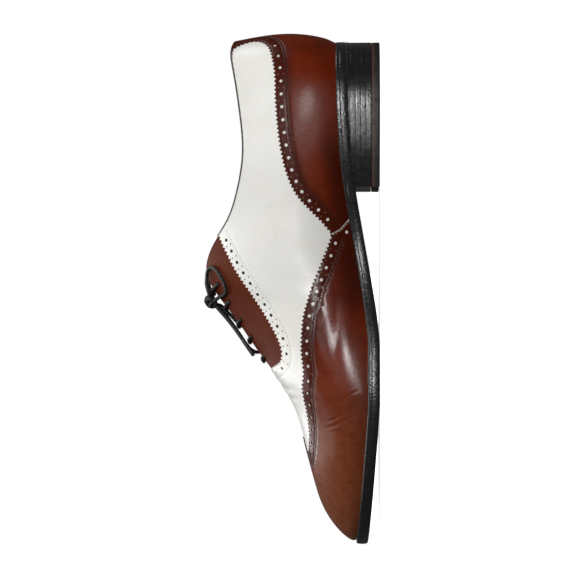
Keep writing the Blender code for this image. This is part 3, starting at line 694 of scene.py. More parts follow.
def sheet_of(side, outline, holes, spacing, extra=()):
    """Triangles over a panel's outline with its holes left open: (r, v) points and faces."""
    scale = np.array([RIB_MM, RISE_MM])
    rings = [np.asarray(outline) * scale] + [np.asarray(h) * scale for h in holes]
    low, high = rings[0].min(0), rings[0].max(0)
    gx = np.arange(low[0], high[0], spacing)
    gy = np.arange(low[1], high[1], spacing)
    grid = np.array([(x + (j % 2) * spacing / 2, y) for j, y in enumerate(gy) for x in gx])
    if len(extra):
        grid = np.concatenate([grid, np.asarray(extra) * scale])
    grid = grid[inside_ring(grid, rings[0])]
    for ring in rings[1:]:
        near = np.where(np.abs(grid - ring.mean(0)).max(1) < 6)[0]
        if len(near):
            hit = near[inside_ring(grid[near], ring)]
            grid = np.delete(grid, hit, 0)
    every = np.concatenate(rings)
    tree = kdtree.KDTree(len(every))
    for i, (x, y) in enumerate(every):
        tree.insert((x, y, 0), i)
    tree.balance()
    clear = [tree.find((x, y, 0))[2] > 0.45 * min(spacing, 1.6) for x, y in grid]
    grid = grid[np.array(clear, bool)] if len(grid) else grid
    verts, edges = [], []
    for ring in rings:
        base = len(verts)
        verts += [Vector(q) for q in ring]
        edges += [(base + i, base + (i + 1) % len(ring)) for i in range(len(ring))]
    verts += [Vector(q) for q in grid]
    out = delaunay_2d_cdt(verts, edges, [], 1, 1e-6)
    q = np.array([tuple(p) for p in out[0]])
    faces = np.array([list(f) for f in out[2]])
    middles = q[faces].mean(1)
    kept = np.ones(len(faces), bool)
    for ring in rings[1:]:
        near = np.where(np.abs(middles - ring.mean(0)).max(1) < 8)[0]
        kept[near[inside_ring(middles[near], ring)]] = False
    used, faces = np.unique(faces[kept], return_inverse=True)
    return q[used] / scale, faces.reshape(-1, 3).tolist()


def add_panel(builder, side, outline, holes, top, thick, spacing=2.4, extra=(), dips=None, plugs=(), tone_and_shade_of=None):
    """A panel of leather as a solid sheet with cut edges. plugs are holes with a dark bottom, kind 1."""
    q, faces = sheet_of(side, outline, [*holes, *plugs], spacing, extra)
    p, n = layer(side, q[:, 0], q[:, 1], np.full(len(q), top), dips)
    # Per-point darkening: a darker band along the sewn edges, and painted shade low down by the welt.
    band_tone_and_shade = tone_and_shade_of(p, q[:, 1]) if tone_and_shade_of else np.ones(len(q))
    a, b, c = (p[[f[k] for f in faces]] for k in range(3))
    turn = (np.cross(b - a, c - a) * n[[f[0] for f in faces]]).sum(1) < 0
    faces = [f[::-1] if t else f for f, t in zip(faces, turn)]
    builder.add(p, faces, n, 0, band_tone_and_shade)
    used = {}
    for f in faces:
        for i in range(3):
            used[(f[i], f[(i + 1) % 3])] = True
    rim_edges = [e for e in used if (e[1], e[0]) not in used]
    low, _ = layer(side, q[:, 0], q[:, 1], np.full(len(q), top - thick), dips)
    wall_points, wall_faces, wall_shade = [], [], []
    for i, j in rim_edges:
        k = len(wall_points)
        wall_points += [p[i], low[i], low[j], p[j]]
        wall_shade += [band_tone_and_shade[i], band_tone_and_shade[i], band_tone_and_shade[j], band_tone_and_shade[j]]
        wall_faces.append((k, k + 1, k + 2, k + 3))
    builder.add(wall_points, wall_faces, None, 0, wall_shade)
    for ring in plugs:
        points, normals = layer(side, ring[:, 0], ring[:, 1], np.full(len(ring), top - 0.42), dips)
        face = tuple(range(len(ring)))
        around = np.cross(points[1] - points[0], points[2] - points[1])
        builder.add(points, [face if around @ normals[0] > 0 else face[::-1]], normals, 1)


def pills(points, ways, ups, length, radius, sides=6):
    """Short rounded stitches at points, lying along ways."""
    points, ways, ups = (np.asarray(x, float) for x in (points, ways, ups))
    across = unit(np.cross(ups, ways))
    along_at = np.array([-0.5, -0.40, -0.12, 0.12, 0.40, 0.5]) * length
    size = np.array([0.0, 0.72, 1.0, 1.0, 0.72, 0.0]) * radius
    verts, faces = [], []
    rings = len(along_at)
    count = 2 + (rings - 2) * sides
    for p, w, u, a in zip(points, ways, ups, across):
        base = len(verts)
        verts.append(p + along_at[0] * w)
        for i in range(1, rings - 1):
            for k in range(sides):
                t = 2 * math.pi * k / sides
                verts.append(p + along_at[i] * w + size[i] * (math.cos(t) * a + math.sin(t) * u))
        verts.append(p + along_at[-1] * w)
        last = base + count - 1
        for k in range(sides):
            j = (k + 1) % sides
            faces.append((base, base + 1 + j, base + 1 + k))
            faces.append((last, last - sides + k, last - sides + j))
            for i in range(rings - 3):
                s = base + 1 + i * sides
                faces.append((s + k, s + j, s + sides + j, s + sides + k))
    return verts, faces


class Stitching:
    """Rows of stitches, gathered into one piece."""

    def __init__(self):
        self.points, self.faces = [], []

    def row(self, line, inward, top, start=0.0, end=None, pitch=2.1, length=1.65, radius=0.21, sink=0.06):
        d = line.even(inward, start, line.length if end is None else end, pitch)
        r, v = line.offset(d, inward)
        good = (v > 0.0) & (v < 0.999) & (r > 0.02) & (r < TIP - 0.02)
        d, r, v = d[good], r[good], v[good]
        if not len(d):
            return
        p, n = layer(line.side, r, v, np.full(len(r), top - sink))
        along, _ = line.ways(d)
        along = unit(along - (along * n).sum(-1, keepdims=True) * n)
        self.pills(p, along, n, length, radius)

    def pills(self, p, along, n, length, radius):
        verts, faces = pills(p, along, n, length, radius)
        base = len(self.points)
        self.points += list(verts)
        self.faces += [[base + i for i in f] for f in faces]

    def make(self, name, look, slot):
        return smooth_mesh(name, self.points, self.faces, [look], slot, sharp=80)


def tube(points, radius, sides=14, cap=True, start=0.0):
    """A round tube along points: vertices, faces and lengthwise coordinates in mm."""
    p = np.asarray(points, float)
    t = unit(np.gradient(p, axis=0))
    n = np.zeros_like(p)
    first = np.array([0.0, 0.0, 1.0]) if abs(t[0][2]) < 0.9 else np.array([1.0, 0.0, 0.0])
    n[0] = unit(first - (first @ t[0]) * t[0])
    for i in range(1, len(p)):
        m = n[i - 1] - (n[i - 1] @ t[i]) * t[i]
        n[i] = unit(m)
    b = np.cross(t, n)
    radius = np.broadcast_to(np.asarray(radius, float), (len(p),))
    run = start + np.concatenate([[0], np.cumsum(np.linalg.norm(np.diff(p, axis=0), axis=1))])
    verts, faces, uv = [], [], []
    for i in range(len(p)):
        for k in range(sides + 1):
            a = 2 * math.pi * k / sides
            verts.append(p[i] + radius[i] * (math.cos(a) * n[i] + math.sin(a) * b[i]))
            uv.append((run[i] * 0.1, k / sides))
    w = sides + 1
    for i in range(len(p) - 1):
        for k in range(sides):
            faces.append((i * w + k, i * w + k + 1, (i + 1) * w + k + 1, (i + 1) * w + k))
    if cap:
        for i, flip in ((0, True), (len(p) - 1, False)):
            c = len(verts)
            verts.append(p[i] + (0.35 if not flip else -0.35) * radius[i] * t[i])
            uv.append((run[i] * 0.1, 0.5))
            for k in range(sides):
                f = (i * w + k, i * w + k + 1, c)
                faces.append(f[::-1] if flip else f)
    return verts, faces, uv


def loft(rings, closed=True):
    """Faces over rings of equal count."""
    n = len(rings[0])
    verts = [q for ring in rings for q in ring]
    faces = []
    for i in range(len(rings) - 1):
        for k in range(n if closed else n - 1):
            j = (k + 1) % n
            faces.append((i * n + k, i * n + j, (i + 1) * n + j, (i + 1) * n + k))
    return verts, faces


# Materials
class Look:
    """A material being put together from nodes."""

    def __init__(self, name, **values):
        self.made = bpy.data.materials.new(name)
        self.made.use_nodes = True
        self.tree = self.made.node_tree
        self.shader = self.tree.nodes["Principled BSDF"]
        where = self.tree.nodes.new("ShaderNodeTexCoord")
        self.place, self.uv = where.outputs["Object"], where.outputs["UV"]
        for key, value in values.items():
            self.shader.inputs[key.replace("_", " ")].default_value = value

    def link(self, a, b):
        self.tree.links.new(a, b)

    def node(self, kind, **settings):
        n = self.tree.nodes.new(kind)
        for key, value in settings.items():
            setattr(n, key, value)
        return n

    def stretched(self, scale, turn=(0.0, 0.0, 0.0)):
        m = self.node("ShaderNodeMapping")
        m.inputs["Scale"].default_value = scale
        m.inputs["Rotation"].default_value = turn
        self.link(self.place, m.inputs["Vector"])
        return m.outputs["Vector"]

    def noise(self, scale, detail=3.0, rough=0.55, at=None):
        n = self.node("ShaderNodeTexNoise")
        n.inputs["Scale"].default_value = scale
        n.inputs["Detail"].default_value = detail
        n.inputs["Roughness"].default_value = rough
        self.link(at or self.place, n.inputs["Vector"])
        return n.outputs["Fac"]

    def cells(self, scale, feature="F1", at=None):
        n = self.node("ShaderNodeTexVoronoi", feature=feature)
        n.inputs["Scale"].default_value = scale
        self.link(at or self.place, n.inputs["Vector"])
        return n.outputs["Distance"]

    def ramp(self, fac, *stops):
        n = self.node("ShaderNodeValToRGB")
        while len(n.color_ramp.elements) < len(stops):
            n.color_ramp.elements.new(0.5)
        for e, (at, colour) in zip(n.color_ramp.elements, stops):
            e.position = at
            e.color = (*colour, 1.0) if len(colour) == 3 else colour
        self.link(fac, n.inputs["Fac"])
        return n.outputs["Color"]

    def values(self, fac, low, high, start=0.0, end=1.0):
        n = self.node("ShaderNodeMapRange")
        n.inputs["From Min"].default_value = start
        n.inputs["From Max"].default_value = end
        n.inputs["To Min"].default_value = low
        n.inputs["To Max"].default_value = high
        self.link(fac, n.inputs["Value"])
        return n.outputs["Result"]

    def mix(self, fac, a, b, blend="MIX"):
        n = self.node("ShaderNodeMix", data_type="RGBA", blend_type=blend)
        for socket, value in ((n.inputs[0], fac), (n.inputs[6], a), (n.inputs[7], b)):
            if isinstance(value, bpy.types.NodeSocket):
                self.link(value, socket)
            elif isinstance(value, (int, float)):
                socket.default_value = value
            else:
                socket.default_value = (*value, 1.0)
        return n.outputs[2]

    def math(self, how, a, b=None):
        n = self.node("ShaderNodeMath", operation=how)
        for socket, value in zip(n.inputs, (a, b)):
            if value is None:
                continue
            if isinstance(value, bpy.types.NodeSocket):
                self.link(value, socket)
            else:
                socket.default_value = value
        return n.outputs[0]

    def bump(self, *heights):
        """Bumps stacked: pairs of a height and its depth in mm."""
        normal = None
        for height, depth in heights:
            n = self.node("ShaderNodeBump")
            n.inputs["Strength"].default_value = 1.0
            n.inputs["Distance"].default_value = depth * MM
            self.link(height, n.inputs["Height"])
            if normal is not None:
                self.link(normal, n.inputs["Normal"])
            normal = n.outputs["Normal"]
        self.link(normal, self.shader.inputs["Normal"])
        if self.shader.inputs["Coat Weight"].default_value > 0:
            self.link(normal, self.shader.inputs["Coat Normal"])

    def colour(self, socket):
        self.link(socket, self.shader.inputs["Base Color"])

    def roughness(self, socket):
        self.link(socket, self.shader.inputs["Roughness"])


def brown_calf(name, dark, mid, light, toe=None, rough=(0.30, 0.46), grain=0.030, coat=0.38, gloss=0.12):
    """Polished calf: patches of depth, darkened where the mesh's darkening attribute is low: a darker band along the
    sewn edges, and painted shade low down by the welt. With a toe colour it grows paler towards the toe and duller
    towards the heel."""
    look = Look(name, Coat_Weight=coat, Coat_Roughness=0.17, Coat_IOR=1.45, Specular_IOR_Level=gloss)
    patches = look.noise(24.0, 4.0, 0.6)
    mottle = look.noise(230.0, 3.0, 0.6)
    tone = look.ramp(patches, (0.30, dark), (0.48, mid), (0.72, light))
    if toe:
        split = look.node("ShaderNodeSeparateXYZ")
        look.link(look.place, split.inputs[0])
        along = look.math("ADD", split.outputs[1], look.math("MULTIPLY", look.noise(16.0, 2.0), 0.06))
        tone = look.mix(look.values(along, 0.0, 0.95, 0.064, 0.152), tone, toe)
        look.link(look.values(split.outputs[1], 0.25 * coat, coat, -0.045, -0.010), look.shader.inputs["Coat Weight"])
    tone = look.mix(look.values(mottle, 0.0, 0.45, 0.40, 0.80), tone, dark)
    # The darkening attribute: a darker band along the sewn edges, and painted shade low down by the welt, deepest along
    # the waist.
    band_tone_and_shade = look.node("ShaderNodeAttribute", attribute_name="band_tone_and_shade").outputs["Fac"]
    tone = look.mix(look.values(band_tone_and_shade, 0.80, 0.0), tone, tuple(0.42 * c for c in dark))
    look.colour(tone)
    look.roughness(look.values(look.noise(60.0, 5.0, 0.65), rough[0], rough[1], 0.3, 0.7))
    look.bump(
        (look.noise(55.0, 2.0), 0.10),
        (look.cells(1050.0, "SMOOTH_F1"), grain),
        (look.noise(2600.0, 2.0), grain * 0.6),
    )
    return look.made


def white_calf():
    look = Look("white_calf", Coat_Weight=0.32, Coat_Roughness=0.20, Specular_IOR_Level=0.4)
    patches = look.noise(22.0, 3.0, 0.55)
    tone = look.ramp(patches, (0.32, (0.815, 0.797, 0.737)), (0.55, (0.870, 0.860, 0.818)), (0.75, (0.890, 0.883, 0.848)))
    spots = look.noise(420.0, 2.0, 0.5)
    look.colour(look.mix(look.values(spots, 0.0, 0.7, 0.70, 0.80), tone, (0.50, 0.46, 0.38)))
    look.roughness(look.values(look.noise(75.0, 4.0, 0.6), 0.27, 0.42, 0.3, 0.7))
    look.bump((look.noise(60.0, 2.0), 0.07), (look.cells(1500.0, "SMOOTH_F1"), 0.020), (look.noise(3000.0, 2.0), 0.012))
    return look.made


def dressed_edge(name, colour=(0.010, 0.009, 0.009), worn=(0.040, 0.025, 0.016)):
    """Inked and waxed edge, pebbled by the edge iron."""
    look = Look(name, Coat_Weight=0.50, Coat_Roughness=0.19, Specular_IOR_Level=0.5)
    rub = look.noise(160.0, 6.0, 0.7)
    look.colour(look.mix(look.values(rub, 0.0, 0.8, 0.62, 0.80), colour, worn))
    look.roughness(look.values(look.noise(240.0, 5.0, 0.7), 0.20, 0.38, 0.3, 0.7))
    look.bump((look.noise(190.0, 3.0, 0.6), 0.16), (look.cells(1150.0, "SMOOTH_F1"), 0.10), (look.noise(2300.0, 3.0, 0.7), 0.05))
    return look.made


def heel_leather():
    """Stacked leather, inked and waxed, with fine lines along the lifts."""
    look = Look("heel_leather", Coat_Weight=0.50, Coat_Roughness=0.16, Specular_IOR_Level=0.5)
    rub = look.noise(120.0, 6.0, 0.7)
    look.colour(look.mix(look.values(rub, 0.0, 0.7, 0.64, 0.82), (0.0075, 0.0066, 0.0064), (0.042, 0.022, 0.013)))
    look.roughness(look.values(look.noise(200.0, 5.0, 0.7), 0.17, 0.36, 0.3, 0.7))
    lifts = look.noise(1.0, 4.0, 0.7, look.stretched((36.0, 36.0, 1700.0)))
    look.bump((look.noise(150.0, 2.0), 0.12), (lifts, 0.05), (look.noise(800.0, 4.0, 0.7), 0.05))
    return look.made


def top_lift_look():
    """Rubber walking lift: black, with a worn brown line along its upper edge."""
    look = Look("top_lift_rubber", Specular_IOR_Level=0.4)
    split = look.node("ShaderNodeSeparateXYZ")
    look.link(look.place, split.inputs[0])
    rub = look.noise(300.0, 5.0, 0.7)
    height = look.math("ADD", split.outputs[2], look.math("MULTIPLY", look.noise(90.0, 4.0, 0.7), 0.0012))
    tone = look.mix(look.values(height, 0.0, 1.0, 0.0034, 0.0042), (0.011, 0.0095, 0.009), (0.050, 0.020, 0.010))
    look.colour(look.mix(look.values(rub, 0.0, 0.7, 0.5, 0.72), tone, (0.034, 0.022, 0.016)))
    look.roughness(look.values(look.noise(420.0, 4.0), 0.38, 0.62, 0.3, 0.7))
    look.bump((look.noise(900.0, 4.0, 0.7), 0.05))
    return look.made


def sole_bottom():
    look = Look("sole_leather", Specular_IOR_Level=0.4)
    tone = look.ramp(look.noise(45.0, 5.0, 0.65), (0.30, (0.020, 0.012, 0.006)), (0.52, (0.042, 0.024, 0.010)), (0.75, (0.075, 0.046, 0.022)))
    streak = look.noise(1.0, 4.0, 0.7, look.stretched((700.0, 90.0, 90.0)))
    look.colour(look.mix(look.values(streak, 0.0, 0.6, 0.55, 0.75), tone, (0.012, 0.008, 0.006)))
    look.roughness(look.values(look.noise(160.0, 4.0), 0.38, 0.62, 0.3, 0.7))
    look.bump((streak, 0.04), (look.noise(700.0, 4.0, 0.7), 0.05))
    return look.made


def plain_leather(name, light, dark, rough=(0.45, 0.65), grain=0.03, scale=1100.0):
    look = Look(name, Specular_IOR_Level=0.4)
    tone = look.ramp(look.noise(40.0, 4.0, 0.6), (0.30, dark), (0.65, light))
    look.colour(look.mix(look.values(look.noise(500.0, 2.0), 0.0, 0.5, 0.5, 0.8), tone, dark))
    look.roughness(look.values(look.noise(120.0, 4.0), rough[0], rough[1], 0.3, 0.7))
    look.bump((look.cells(scale, "SMOOTH_F1"), grain), (look.noise(2600.0, 2.0), grain * 0.5))
    return look.made


def thread(name, colour, dark):
    look = Look(name, Roughness=0.55, Sheen_Weight=0.15)
    look.colour(look.mix(look.values(look.noise(1500.0, 2.0), 0.0, 0.8, 0.4, 0.7), colour, dark))
    twist = look.noise(1.0, 1.0, 0.5, look.stretched((2500.0, 2500.0, 5200.0), (0.5, 0.4, 0.3)))
    look.bump((twist, 0.05))
    return look.made


def braid(name, colour, light):
    """Round braided cord: strands crossing both ways round the tube, with painted shade, near black, in the grooves
    between strands and a painted highlight, the light colour, on their crests.
    """
    look = Look(name, Coat_Weight=0.10, Coat_Roughness=0.35, Specular_IOR_Level=0.45)
    split = look.node("ShaderNodeSeparateXYZ")
    look.link(look.uv, split.inputs[0])
    long = look.math("MULTIPLY", split.outputs[0], 10 * 2 * math.pi / 2.4)
    round_ = look.math("MULTIPLY", split.outputs[1], 4 * 2 * math.pi)
    one = look.math("SINE", look.math("ADD", long, round_))
    two = look.math("SINE", look.math("SUBTRACT", long, round_))
    high = look.math("MAXIMUM", one, two)
    # Colour by strand height: painted shade in the grooves, painted highlight on the crests.
    look.colour(look.ramp(look.values(high, 0.0, 1.0, -0.2, 1.0), (0.0, (0.003, 0.003, 0.003)), (0.55, colour), (1.0, light)))
    look.roughness(look.values(look.noise(900.0, 3.0), 0.38, 0.62, 0.3, 0.7))
    look.bump((high, 0.10), (look.noise(3200.0, 2.0), 0.03))
    return look.made


def bead_look():
    """Narrow edge binding, whipped across."""
    look = Look("edge_binding", Roughness=0.42, Coat_Weight=0.2, Coat_Roughness=0.25)
    split = look.node("ShaderNodeSeparateXYZ")
    look.link(look.uv, split.inputs[0])
    wave = look.math("SINE", look.math("MULTIPLY", split.outputs[0], 10 * 2 * math.pi / 1.7))
    look.colour(look.ramp(look.values(wave, 0.0, 1.0, -1.0, 1.0), (0.18, (0.070, 0.050, 0.040)), (0.50, (0.012, 0.009, 0.008))))
    look.bump((wave, 0.12), (look.noise(1800.0, 2.0), 0.03))
    return look.made


BROWN = brown_calf("brown_calf", (0.074, 0.0068, 0.0009), (0.132, 0.0132, 0.0014), (0.172, 0.0225, 0.0030), (0.176, 0.0510, 0.0200))
FACING = brown_calf("facing_calf", (0.068, 0.0115, 0.0038), (0.104, 0.0190, 0.0062), (0.124, 0.0250, 0.0085), rough=(0.42, 0.60), grain=0.026, coat=0.03, gloss=0.09)
BROWN_HOLE = plain_leather("punched_brown", (0.24, 0.105, 0.065), (0.12, 0.045, 0.028))
STRIP_HOLE = plain_leather("punched_strip", (0.030, 0.028, 0.022), (0.012, 0.011, 0.009))
WHITE = white_calf()
DARK = plain_leather("backing", (0.050, 0.018, 0.010), (0.022, 0.009, 0.006))
LINING = plain_leather("lining_leather", (0.52, 0.40, 0.27), (0.40, 0.29, 0.18))
SOCK = plain_leather("sock_leather", (0.47, 0.33, 0.20), (0.34, 0.22, 0.12))
TONGUE_LOOK = brown_calf("tongue_calf", (0.040, 0.0095, 0.0050), (0.078, 0.018, 0.0080), (0.095, 0.025, 0.011), rough=(0.45, 0.62), coat=0.02, gloss=0.12)
EDGE_LOOK = dressed_edge("dressed_edge")
WELT_LOOK = dressed_edge("welt_leather", (0.012, 0.011, 0.011), (0.040, 0.028, 0.020))
HEEL = heel_leather()
LIFT = top_lift_look()
BOTTOM = sole_bottom()
BROWN_THREAD = thread("brown_thread", (0.038, 0.012, 0.008), (0.014, 0.005, 0.004))
WHITE_THREAD = thread("white_thread", (0.60, 0.58, 0.52), (0.34, 0.32, 0.28))
GREY_THREAD = thread("grey_thread", (0.30, 0.29, 0.27), (0.13, 0.125, 0.115))
CREAM_THREAD = thread("cream_thread", (0.62, 0.50, 0.36), (0.36, 0.26, 0.16))
BLACK_THREAD = thread("black_thread", (0.030, 0.027, 0.025), (0.010, 0.009, 0.009))
PALE_THREAD = thread("sole_thread", (0.22, 0.16, 0.08), (0.10, 0.07, 0.035))
# The third colour is a painted highlight on the lace strands' crests.
CORD = braid("lace_cotton", (0.0075, 0.0068, 0.0062), (0.022, 0.020, 0.018))
AGLET = Look("aglet", Roughness=0.30, Coat_Weight=0.2, Coat_Roughness=0.2)
AGLET.colour(AGLET.mix(AGLET.values(AGLET.noise(900.0, 3.0), 0.0, 0.6, 0.5, 0.75), (0.010, 0.009, 0.009), (0.040, 0.034, 0.030)))
AGLET.bump((AGLET.noise(1500.0, 2.0), 0.03))
AGLET = AGLET.made
BINDING = bead_look()


# The upper
def side_lines(side):
    return {
        "wing": Line(side, WING_EDGE, 1),
        "counter": Line(side, COUNTER_EDGE, -1),
        "seam": Line(side, SEAM, 1),
        "facing": Line(side, FACING_EDGE, -1),
    }


LINES = {side: side_lines(side) for side in (-1, 1)}


def straight(a, b, step=0.07):
    """Points from a to b on the (r, v) sheet, without the last."""
    a, b = np.array(a, float), np.array(b, float)
    count = max(2, int(np.abs((b - a) * [1.0, RISE_MM / RIB_MM]).max() / step))
    return [tuple(a + (b - a) * k / count) for k in range(count)]


def ring_points(*parts):
    out = []
    for part in parts:
        out += [(float(r), float(v)) for r, v in part]
    clean = [out[0]]
    for q in out[1:]:
        if abs(q[0] - clean[-1][0]) * RIB_MM + abs(q[1] - clean[-1][1]) * RISE_MM > 0.02:
            clean.append(q)
    if abs(clean[0][0] - clean[-1][0]) * RIB_MM + abs(clean[0][1] - clean[-1][1]) * RISE_MM < 0.02:
        clean.pop()
    return clean


def dips_along(line, rows, depth=0.20, width=0.42):
    """Small troughs where rows of stitches pull the leather in."""
    tree = kdtree.KDTree(len(line.points))
    for i, p in enumerate(line.points):
        tree.insert(p, i)
    tree.balance()

    def dips(p):
        flat = p.reshape(-1, 3)
        push, slope = np.zeros(len(flat)), np.zeros_like(flat)
        for i, q in enumerate(flat):
            near, _, d = tree.find(q)
            if d > max(rows) + 3:
                continue
            for row in rows:
                f = math.exp(-(((d - row) / width) ** 2))
                push[i] -= depth * f
                if d > 1e-6:
                    slope[i] += depth * 2 * (d - row) / width**2 * f * (q - np.array(near)) / d
        return push.reshape(p.shape[:-1]), slope.reshape(p.shape)

    return dips


def rows_of_points(line, rows, width=0.42, step=1.2):
    found = []
    for row in rows:
        d = line.even(row, 0.3, line.length - 0.3, step)
        for k in (-1.5, -0.75, 0.0, 0.75, 1.5):
            r, v = line.offset(d, row + k * width)
            good = (v > V_LOW + 0.01) & (v < 0.99) & (r > 0.03) & (r < TIP - 0.03)
            found += list(zip(r[good], v[good]))
    return found


def crease_points(side, low_v=0.0, high_v=1.0):
    found = []
    for c in CREASES:
        if c.side != side:
            continue
        q = smooth_run(np.array([[e.r * RIB_MM, e.v * RISE_MM] for e in c.line]), 1.0)
        for k in np.linspace(-3.2, 3.2, 11):
            for x, y in q:
                r, v = (x + k * c.width) / RIB_MM, y / RISE_MM
                if low_v < v < min(high_v, 0.99):
                    found.append((r, v))
    return found


def plan_point(side, x, s, r=16.0, v=0.8):
    """The place on a side's wall over a plan point."""
    for _ in range(40):
        a, b = steps_of(side, np.array(r), np.array(v))
        p = wall(side, r, v)
        j = np.stack([a[:2], b[:2]], -1)
        d = np.linalg.lstsq(j, np.array([x, s]) - p[:2], rcond=None)[0]
        r = float(np.clip(r + np.clip(d[0], -0.3, 0.3), 0, TIP))
        v = float(np.clip(v + np.clip(d[1], -0.05, 0.05), 0, 1))
    return r, v


def medallion(side):
    """Holes of the toe ornament on one side, large and small: a scroll of small holes about a large one,
    and the scatter between the two scrolls."""
    large, small = [], []
    for k in range(11):
        turn = math.radians(-131 + 33 * k)
        radius = 6.5 + 0.16 * k if k < 6 else 7.3 - 0.75 * (k - 5)
        x, s = 17.5 + radius * math.cos(turn), 268.5 + radius * math.sin(turn)
        small += ring_of(side, *plan_point(side, side * x, s), SMALL_HOLE, 8)
    large += ring_of(side, *plan_point(side, side * 17.3, 268.8), BIG_HOLE, 14)
    for x, s in ((4.2, 259.0), (4.6, 271.0)):
        large += ring_of(side, *plan_point(side, side * x, s), BIG_HOLE, 14)
    for x, s in ((8.6, 262.0), (6.2, 265.6), (7.8, 275.0), (3.6, 278.4)):
        small += ring_of(side, *plan_point(side, side * x, s), SMALL_HOLE, 8)
    return large, small


def band_tone_and_welt_shade(*lines):
    """Darkening of a panel: a darker band along its sewn edges, and painted shade low down by the welt, deepest along
    the arch.
    """
    points = np.concatenate([line.points for line in lines])
    tree = kdtree.KDTree(len(points))
    for i, p in enumerate(points):
        tree.insert(p, i)
    tree.balance()

    def band_tone_and_shade(p, v):
        d = np.array([tree.find(q)[2] for q in p])
        # Painted shade low down by the welt, deepest along the arch where the wall tucks under.
        low = 1.0 - smooth_step(v, 0.05, 0.24)
        depth = 0.2 + 0.8 * smooth_step(p[:, 1], 45.0, 80.0) - 0.7 * smooth_step(p[:, 1], 146.0, 178.0)
        return (0.10 + 0.90 * smooth_step(d, 7.0, 13.0)) * (1.0 - depth * low)

    return band_tone_and_shade


BROWN_ROWS = (1.25, 7.1, 8.6)
WHITE_ROWS = (1.25, 7.6)


def build_upper():
    shell, white, wing, counter, facing = Builder(), Builder(), Builder(), Builder(), Builder()
    rr, vv = np.linspace(0, TIP, 153), np.linspace(V_LOW, 1, 34)
    for side in (-1, 1):
        lines = LINES[side]
        # Backing and lining.
        grid_r, grid_v = np.meshgrid(rr, vv, indexing="ij")
        outer, n = layer(side, grid_r, grid_v, np.full(grid_r.shape, SHELL_TOP))
        inner, m = layer(side, grid_r, grid_v, np.full(grid_r.shape, -WALL))
        k = len(vv)
        faces = [(i * k + j, (i + 1) * k + j, (i + 1) * k + j + 1, i * k + j + 1) for i in range(len(rr) - 1) for j in range(k - 1)]
        if side < 0:
            faces = [f[::-1] for f in faces]
        shell.add(outer.reshape(-1, 3), faces, n.reshape(-1, 3), 0)
        shell.add(inner.reshape(-1, 3), [f[::-1] for f in faces], -m.reshape(-1, 3), 1)
        rim = [i for i in range(len(rr)) if rr[i] <= THROAT + 1e-6]
        points = [q for i in rim for q in (outer[i, -1], inner[i, -1])]
        strip = [(2 * i, 2 * i + 2, 2 * i + 3, 2 * i + 1) for i in range(len(rim) - 1)]
        shell.add(points, strip if side > 0 else [f[::-1] for f in strip], None, 1)

        # Facing, with its eyelets.
        eyes = []
        for eyelet in EYELETS:
            r = rib_at(eyelet.s)
            eyes += ring_of(side, r, down_the_rib(side, r, eyelet.inset), 1.45, 14)
        outline = ring_points(
            straight((7.2, 1.0), (7.2, 0.52)), straight((7.2, 0.52), (13.25, 0.52)),
            straight((13.25, 0.52), (13.25, 1.0)), straight((13.25, 1.0), (7.2, 1.0), 0.05),
        )
        add_panel(facing, side, outline, eyes, FACING_TOP, 0.65, 2.2)

        # White vamp and quarter.
        edge_r, edge_v = lines["facing"].pinked()
        outline = ring_points(
            straight((0, V_LOW), (TIP, V_LOW)), straight((TIP, V_LOW), (TIP, 1.0)),
            straight((TIP, 1.0), (edge_r[-1], 1.0)), list(zip(edge_r, edge_v))[::-1],
            straight((edge_r[0], 1.0), (0, 1.0)), straight((0, 1.0), (0, V_LOW)),
        )
        large, small = lines["facing"].holes(1.2, lines["facing"].length - 1.6)
        extra = rows_of_points(lines["facing"], WHITE_ROWS) + crease_points(side, 0.55)
        add_panel(white, side, outline, [], WHITE_TOP, 0.62, 2.3, extra, dips_along(lines["facing"], WHITE_ROWS, 0.11, 0.38), large + small)

        # Brown wing cap.
        edge_r, edge_v = lines["wing"].pinked()
        seam_r, seam_v = lines["seam"].r + 0.02, lines["seam"].v
        outline = ring_points(
            list(zip(edge_r, edge_v)), list(zip(seam_r, seam_v)),
            straight((seam_r[-1], V_LOW), (TIP, V_LOW)), straight((TIP, V_LOW), (TIP, 1.0)),
            straight((TIP, 1.0), (edge_r[0], 1.0)),
        )
        large, small = lines["wing"].holes(0.6, lines["wing"].length + 0.5)
        seam_large, _ = lines["seam"].holes(3.4, lines["seam"].length - 2.2)
        toe_large, toe_small = medallion(side)
        extra = rows_of_points(lines["wing"], BROWN_ROWS) + crease_points(side, 0.0, 0.62)
        add_panel(
            wing, side, outline, large + seam_large + toe_large, BROWN_TOP, 0.72, 2.2, extra,
            dips_along(lines["wing"], BROWN_ROWS), small + toe_small, band_tone_and_welt_shade(lines["wing"], lines["seam"]),
        )

        # Brown counter.
        edge_r, edge_v = lines["counter"].pinked()
        seam_r, seam_v = lines["seam"].r - 0.015, lines["seam"].v
        outline = ring_points(
            list(zip(edge_r, edge_v)), list(zip(seam_r, seam_v)),
            straight((seam_r[-1], V_LOW), (0, V_LOW)), straight((0, V_LOW), (0, 1.0)),
            straight((0, 1.0), (edge_r[0], 1.0)),
        )
        large, small = lines["counter"].holes(1.0, lines["counter"].length - 3.0)
        extra = rows_of_points(lines["counter"], BROWN_ROWS)
        add_panel(
            counter, side, outline, large, BROWN_TOP, 0.72, 2.2, extra,
            dips_along(lines["counter"], BROWN_ROWS), small, band_tone_and_welt_shade(lines["counter"]),
        )

    shell.make("upper_shell", [DARK, LINING], "upper", "upper")
    facing.make("facings", [FACING], "upper")
    white.make("white_panels", [WHITE, STRIP_HOLE], "upper")
    wing.make("wing_cap", [BROWN, BROWN_HOLE], "upper")
    counter.make("heel_counter", [BROWN, BROWN_HOLE], "upper")


